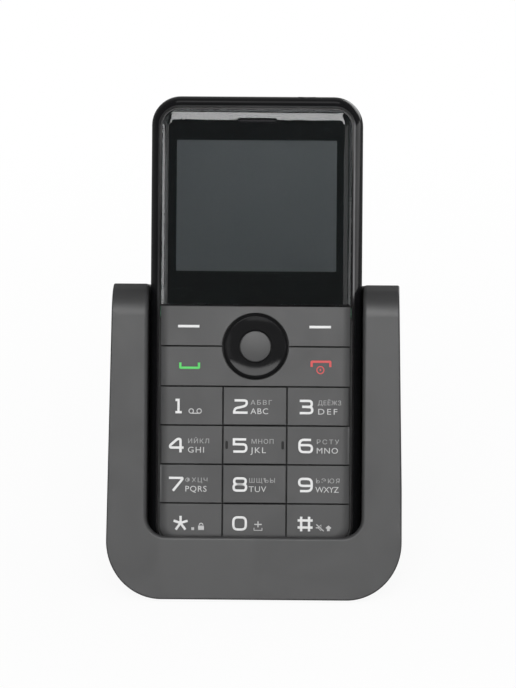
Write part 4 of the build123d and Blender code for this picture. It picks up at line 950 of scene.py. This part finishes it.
def makeKeyLegends(size):
    for row, names in enumerate(keyRows):
        middle = rowMiddle(row) - size["drop"]
        for column, node in enumerate(names):
            sign, upper, upperWidth, latin, latinWidth, shift = keyLegends[node]
            x = size["digitX"][column]
            groups = [joinInk(drawDigit(sign, x, middle), "digit", finish["digitInk"])]
            if latin:
                for text, height, width, rise, name, ink in (
                        (latin, "latinHeight", latinWidth, "latinDrop", "latin", "latinInk"),
                        (upper, "upperHeight", upperWidth, "upperRise", "upper", "dimInk")):
                    letters = inkLetters(text, size[height], width, x + shift, middle + size[rise])
                    groups.append(joinInk([letters], name, finish[ink]))
            else:
                groups.append(joinInk(drawSigns(node, x, middle), "sign", finish["latinInk"]))
            layInk(groups, node + "Legend", node)


barLegend = {"dashes": (((-19.95, 58.65), (-14.45, 58.65)), ((13.85, 58.65), (19.4, 58.65))),
             "call": ((-19.3, 49.3), (-19.3, 47.95), (-14.5, 47.95), (-14.5, 49.3)),
             "end": ((14.5, 48.4), (14.5, 49.75), (19.3, 49.75), (19.3, 48.4)),
             "circle": (16.75, 47.6, 0.92), "tick": ((16.75, 47.35), (16.75, 47.9)),
             "dashWidth": 0.7, "signWidth": 0.62, "circleWidth": 0.3, "tickWidth": 0.35,
             "rounding": 0.15}


def makeBarLegends(size):
    dashes = [inkStroke(path, size["dashWidth"]) for path in size["dashes"]]
    layInk([joinInk(dashes, "dashes", finish["digitInk"])], "softKeyLegend", "soft_key_bar")
    callSign = [inkStroke(size["call"], size["signWidth"], radius=size["rounding"])]
    endSign = [inkStroke(size["end"], size["signWidth"], radius=size["rounding"]),
               drawArc(*size["circle"], 360, size["circleWidth"]),
               inkStroke(size["tick"], size["tickWidth"])]
    layInk([joinInk(callSign, "callSign", finish["greenInk"]),
            joinInk(endSign, "endSign", finish["redInk"])], "callKeyLegend", "call_key_bar")


makeKeyLegends(legend)
makeBarLegends(barLegend)
bpy.data.objects.remove(padBlank)
bpy.data.objects.remove(blank)
print("legends laid")

# Studio: white floor, soft boxes over and beside the phone, camera square to its face
studio = {"target": (0.00067, -0.00787, 0.06283), "distance": 1.474, "azimuth": 1.4,
          "elevation": 18.0, "focal": 300.0, "sensor": 36.0, "nearest": 0.05}
studioFloor = {"radius": 3.0, "steps": 96, "near": 0.06, "far": 0.4, "nearWhite": 0.93,
               "farWhite": 1.0, "mirrored": 0.15, "grey": 0.9, "roughness": 0.9}
studioAir = {"ambient": 0.4, "low": 0.6, "high": 0.98, "dim": 0.12, "bright": 0.3}
softBoxes = {  # azimuth, elevation, distance, width, height, watts
    "frontBox": (0, 37, 1.1, 0.5, 0.5, 7.0),
    "lowBox": (-8, 2, 1.1, 0.4, 0.2, 0.63),
    "leftBox": (-47, 14.5, 1.1, 0.2, 0.14, 0.42),
    "leftFill": (-29, 18.5, 1.15, 0.36, 0.15, 0.17),
    "rightBox": (62, 8, 1.1, 0.9, 0.34, 1.05),
    "rightFill": (22, 17.5, 1.15, 0.5, 0.2, 0.3),
    "sideBox": (103, 1, 1.0, 0.7, 0.22, 0.7),
    "backBox": (180, 68, 1.1, 0.5, 0.22, 0.27),
    "rearBox": (150, 13, 1.8, 1.2, 0.8, 5.0),
}


# Azimuth 0 is in front of the face, and it grows to the right of the picture
def fromAngles(azimuth, elevation, distance):
    side, rise = math.radians(azimuth), math.radians(elevation)
    return Vector(studio["target"]) + distance * Vector(
        (math.sin(side) * math.cos(rise), -math.cos(side) * math.cos(rise), math.sin(rise)))


def aimAt(place, target):
    return (Vector(target) - place).to_track_quat("-Z", "Y").to_matrix().to_4x4()


def rangeNode(tree, value, low, high, first, last):
    node = addNode(tree, "ShaderNodeMapRange", From_Min=low, From_Max=high, To_Min=first,
                   To_Max=last)
    tree.links.new(value, node.inputs["Value"])
    return node.outputs["Result"]


def mixShaders(tree, factor, first, second, output):
    mix = tree.nodes.new("ShaderNodeMixShader")
    for socket, source in zip(mix.inputs, (factor, first, second)):
        tree.links.new(source, socket)
    tree.links.new(mix.outputs["Shader"], tree.nodes[output].inputs["Surface"])


# White for the camera, a little less so near the foot, and dim where the piece mirrors it
def makeFloor(size):
    deselectAll()
    bpy.ops.mesh.primitive_circle_add(vertices=size["steps"], radius=size["radius"],
                                      fill_type="NGON")
    floor = bpy.context.object
    floor.name = "studioFloor"
    material, tree, shader, place = startMaterial("floorWhite")
    setInputs(shader, {"Base Color": (size["grey"], size["grey"], size["grey"], 1),
                       "Roughness": size["roughness"]})
    rays = tree.nodes.new("ShaderNodeLightPath").outputs
    glow = tree.nodes.new("ShaderNodeEmission")
    far = tree.nodes.new("ShaderNodeVectorMath")
    far.operation = "LENGTH"
    tree.links.new(place, far.inputs[0])
    whiteness = rangeNode(tree, far.outputs["Value"], size["near"], size["far"], size["nearWhite"],
                          size["farWhite"])
    seen = addMaths(tree, "MULTIPLY", rays["Is Camera Ray"], whiteness)
    seen = addMaths(tree, "MAXIMUM", seen, rays["Is Glossy Ray"])
    seen = addMaths(tree, "MAXIMUM", seen, rays["Is Transmission Ray"])
    strength = rangeNode(tree, rays["Is Glossy Ray"], 0, 1, 1, size["mirrored"])
    tree.links.new(strength, glow.inputs["Strength"])
    mixShaders(tree, seen, shader.outputs["BSDF"], glow.outputs["Emission"], "Material Output")
    floor.data.materials.append(material)


# Even light from all round; where it is mirrored, the backdrop is dim except behind the piece
def makeWorld(size):
    world = bpy.data.worlds.new("studioAir")
    bpy.context.scene.world = world
    world.use_nodes = True
    tree = world.node_tree
    ambient = tree.nodes["Background"]
    setInputs(ambient, {"Color": (1, 1, 1, 1), "Strength": size["ambient"]})
    backdrop = tree.nodes.new("ShaderNodeBackground")
    place = tree.nodes.new("ShaderNodeTexCoord")
    split = tree.nodes.new("ShaderNodeSeparateXYZ")
    tree.links.new(place.outputs["Generated"], split.inputs[0])
    rays = tree.nodes.new("ShaderNodeLightPath").outputs
    mirrored = addMaths(tree, "MAXIMUM", rays["Is Glossy Ray"], rays["Is Transmission Ray"])
    level = addNode(tree, "ShaderNodeMix", A=1)
    tree.links.new(mirrored, level.inputs["Factor"])
    tree.links.new(rangeNode(tree, split.outputs["Y"], size["low"], size["high"], size["dim"],
                             size["bright"]), level.inputs["B"])
    tree.links.new(level.outputs["Result"], backdrop.inputs["Strength"])
    seen = addMaths(tree, "MAXIMUM", rays["Is Camera Ray"], mirrored)
    mixShaders(tree, seen, ambient.outputs[0], backdrop.outputs[0], "World Output")


def makeSoftBoxes():
    for name, (azimuth, elevation, distance, width, height, watts) in softBoxes.items():
        lamp = bpy.data.lights.new(name, "AREA")
        lamp.shape = "RECTANGLE"
        lamp.size = width
        lamp.size_y = height
        lamp.energy = watts
        holder = bpy.data.objects.new(name, lamp)
        bpy.context.collection.objects.link(holder)
        place = fromAngles(azimuth, elevation, distance)
        holder.matrix_world = Matrix.Translation(place) @ aimAt(place, studio["target"])


def makeCamera(size):
    view = bpy.data.cameras.new("photoCamera")
    view.lens = size["focal"]
    view.sensor_width = size["sensor"]
    view.clip_start = size["nearest"]
    camera = bpy.data.objects.new("photoCamera", view)
    bpy.context.collection.objects.link(camera)
    place = fromAngles(size["azimuth"], size["elevation"], size["distance"])
    camera.matrix_world = Matrix.Translation(place) @ aimAt(place, size["target"])
    bpy.context.scene.camera = camera


makeFloor(studioFloor)
makeWorld(studioAir)
makeSoftBoxes()
makeCamera(studio)
bpy.context.scene.view_settings.view_transform = "Standard"
print("studio ready")

deselectAll()
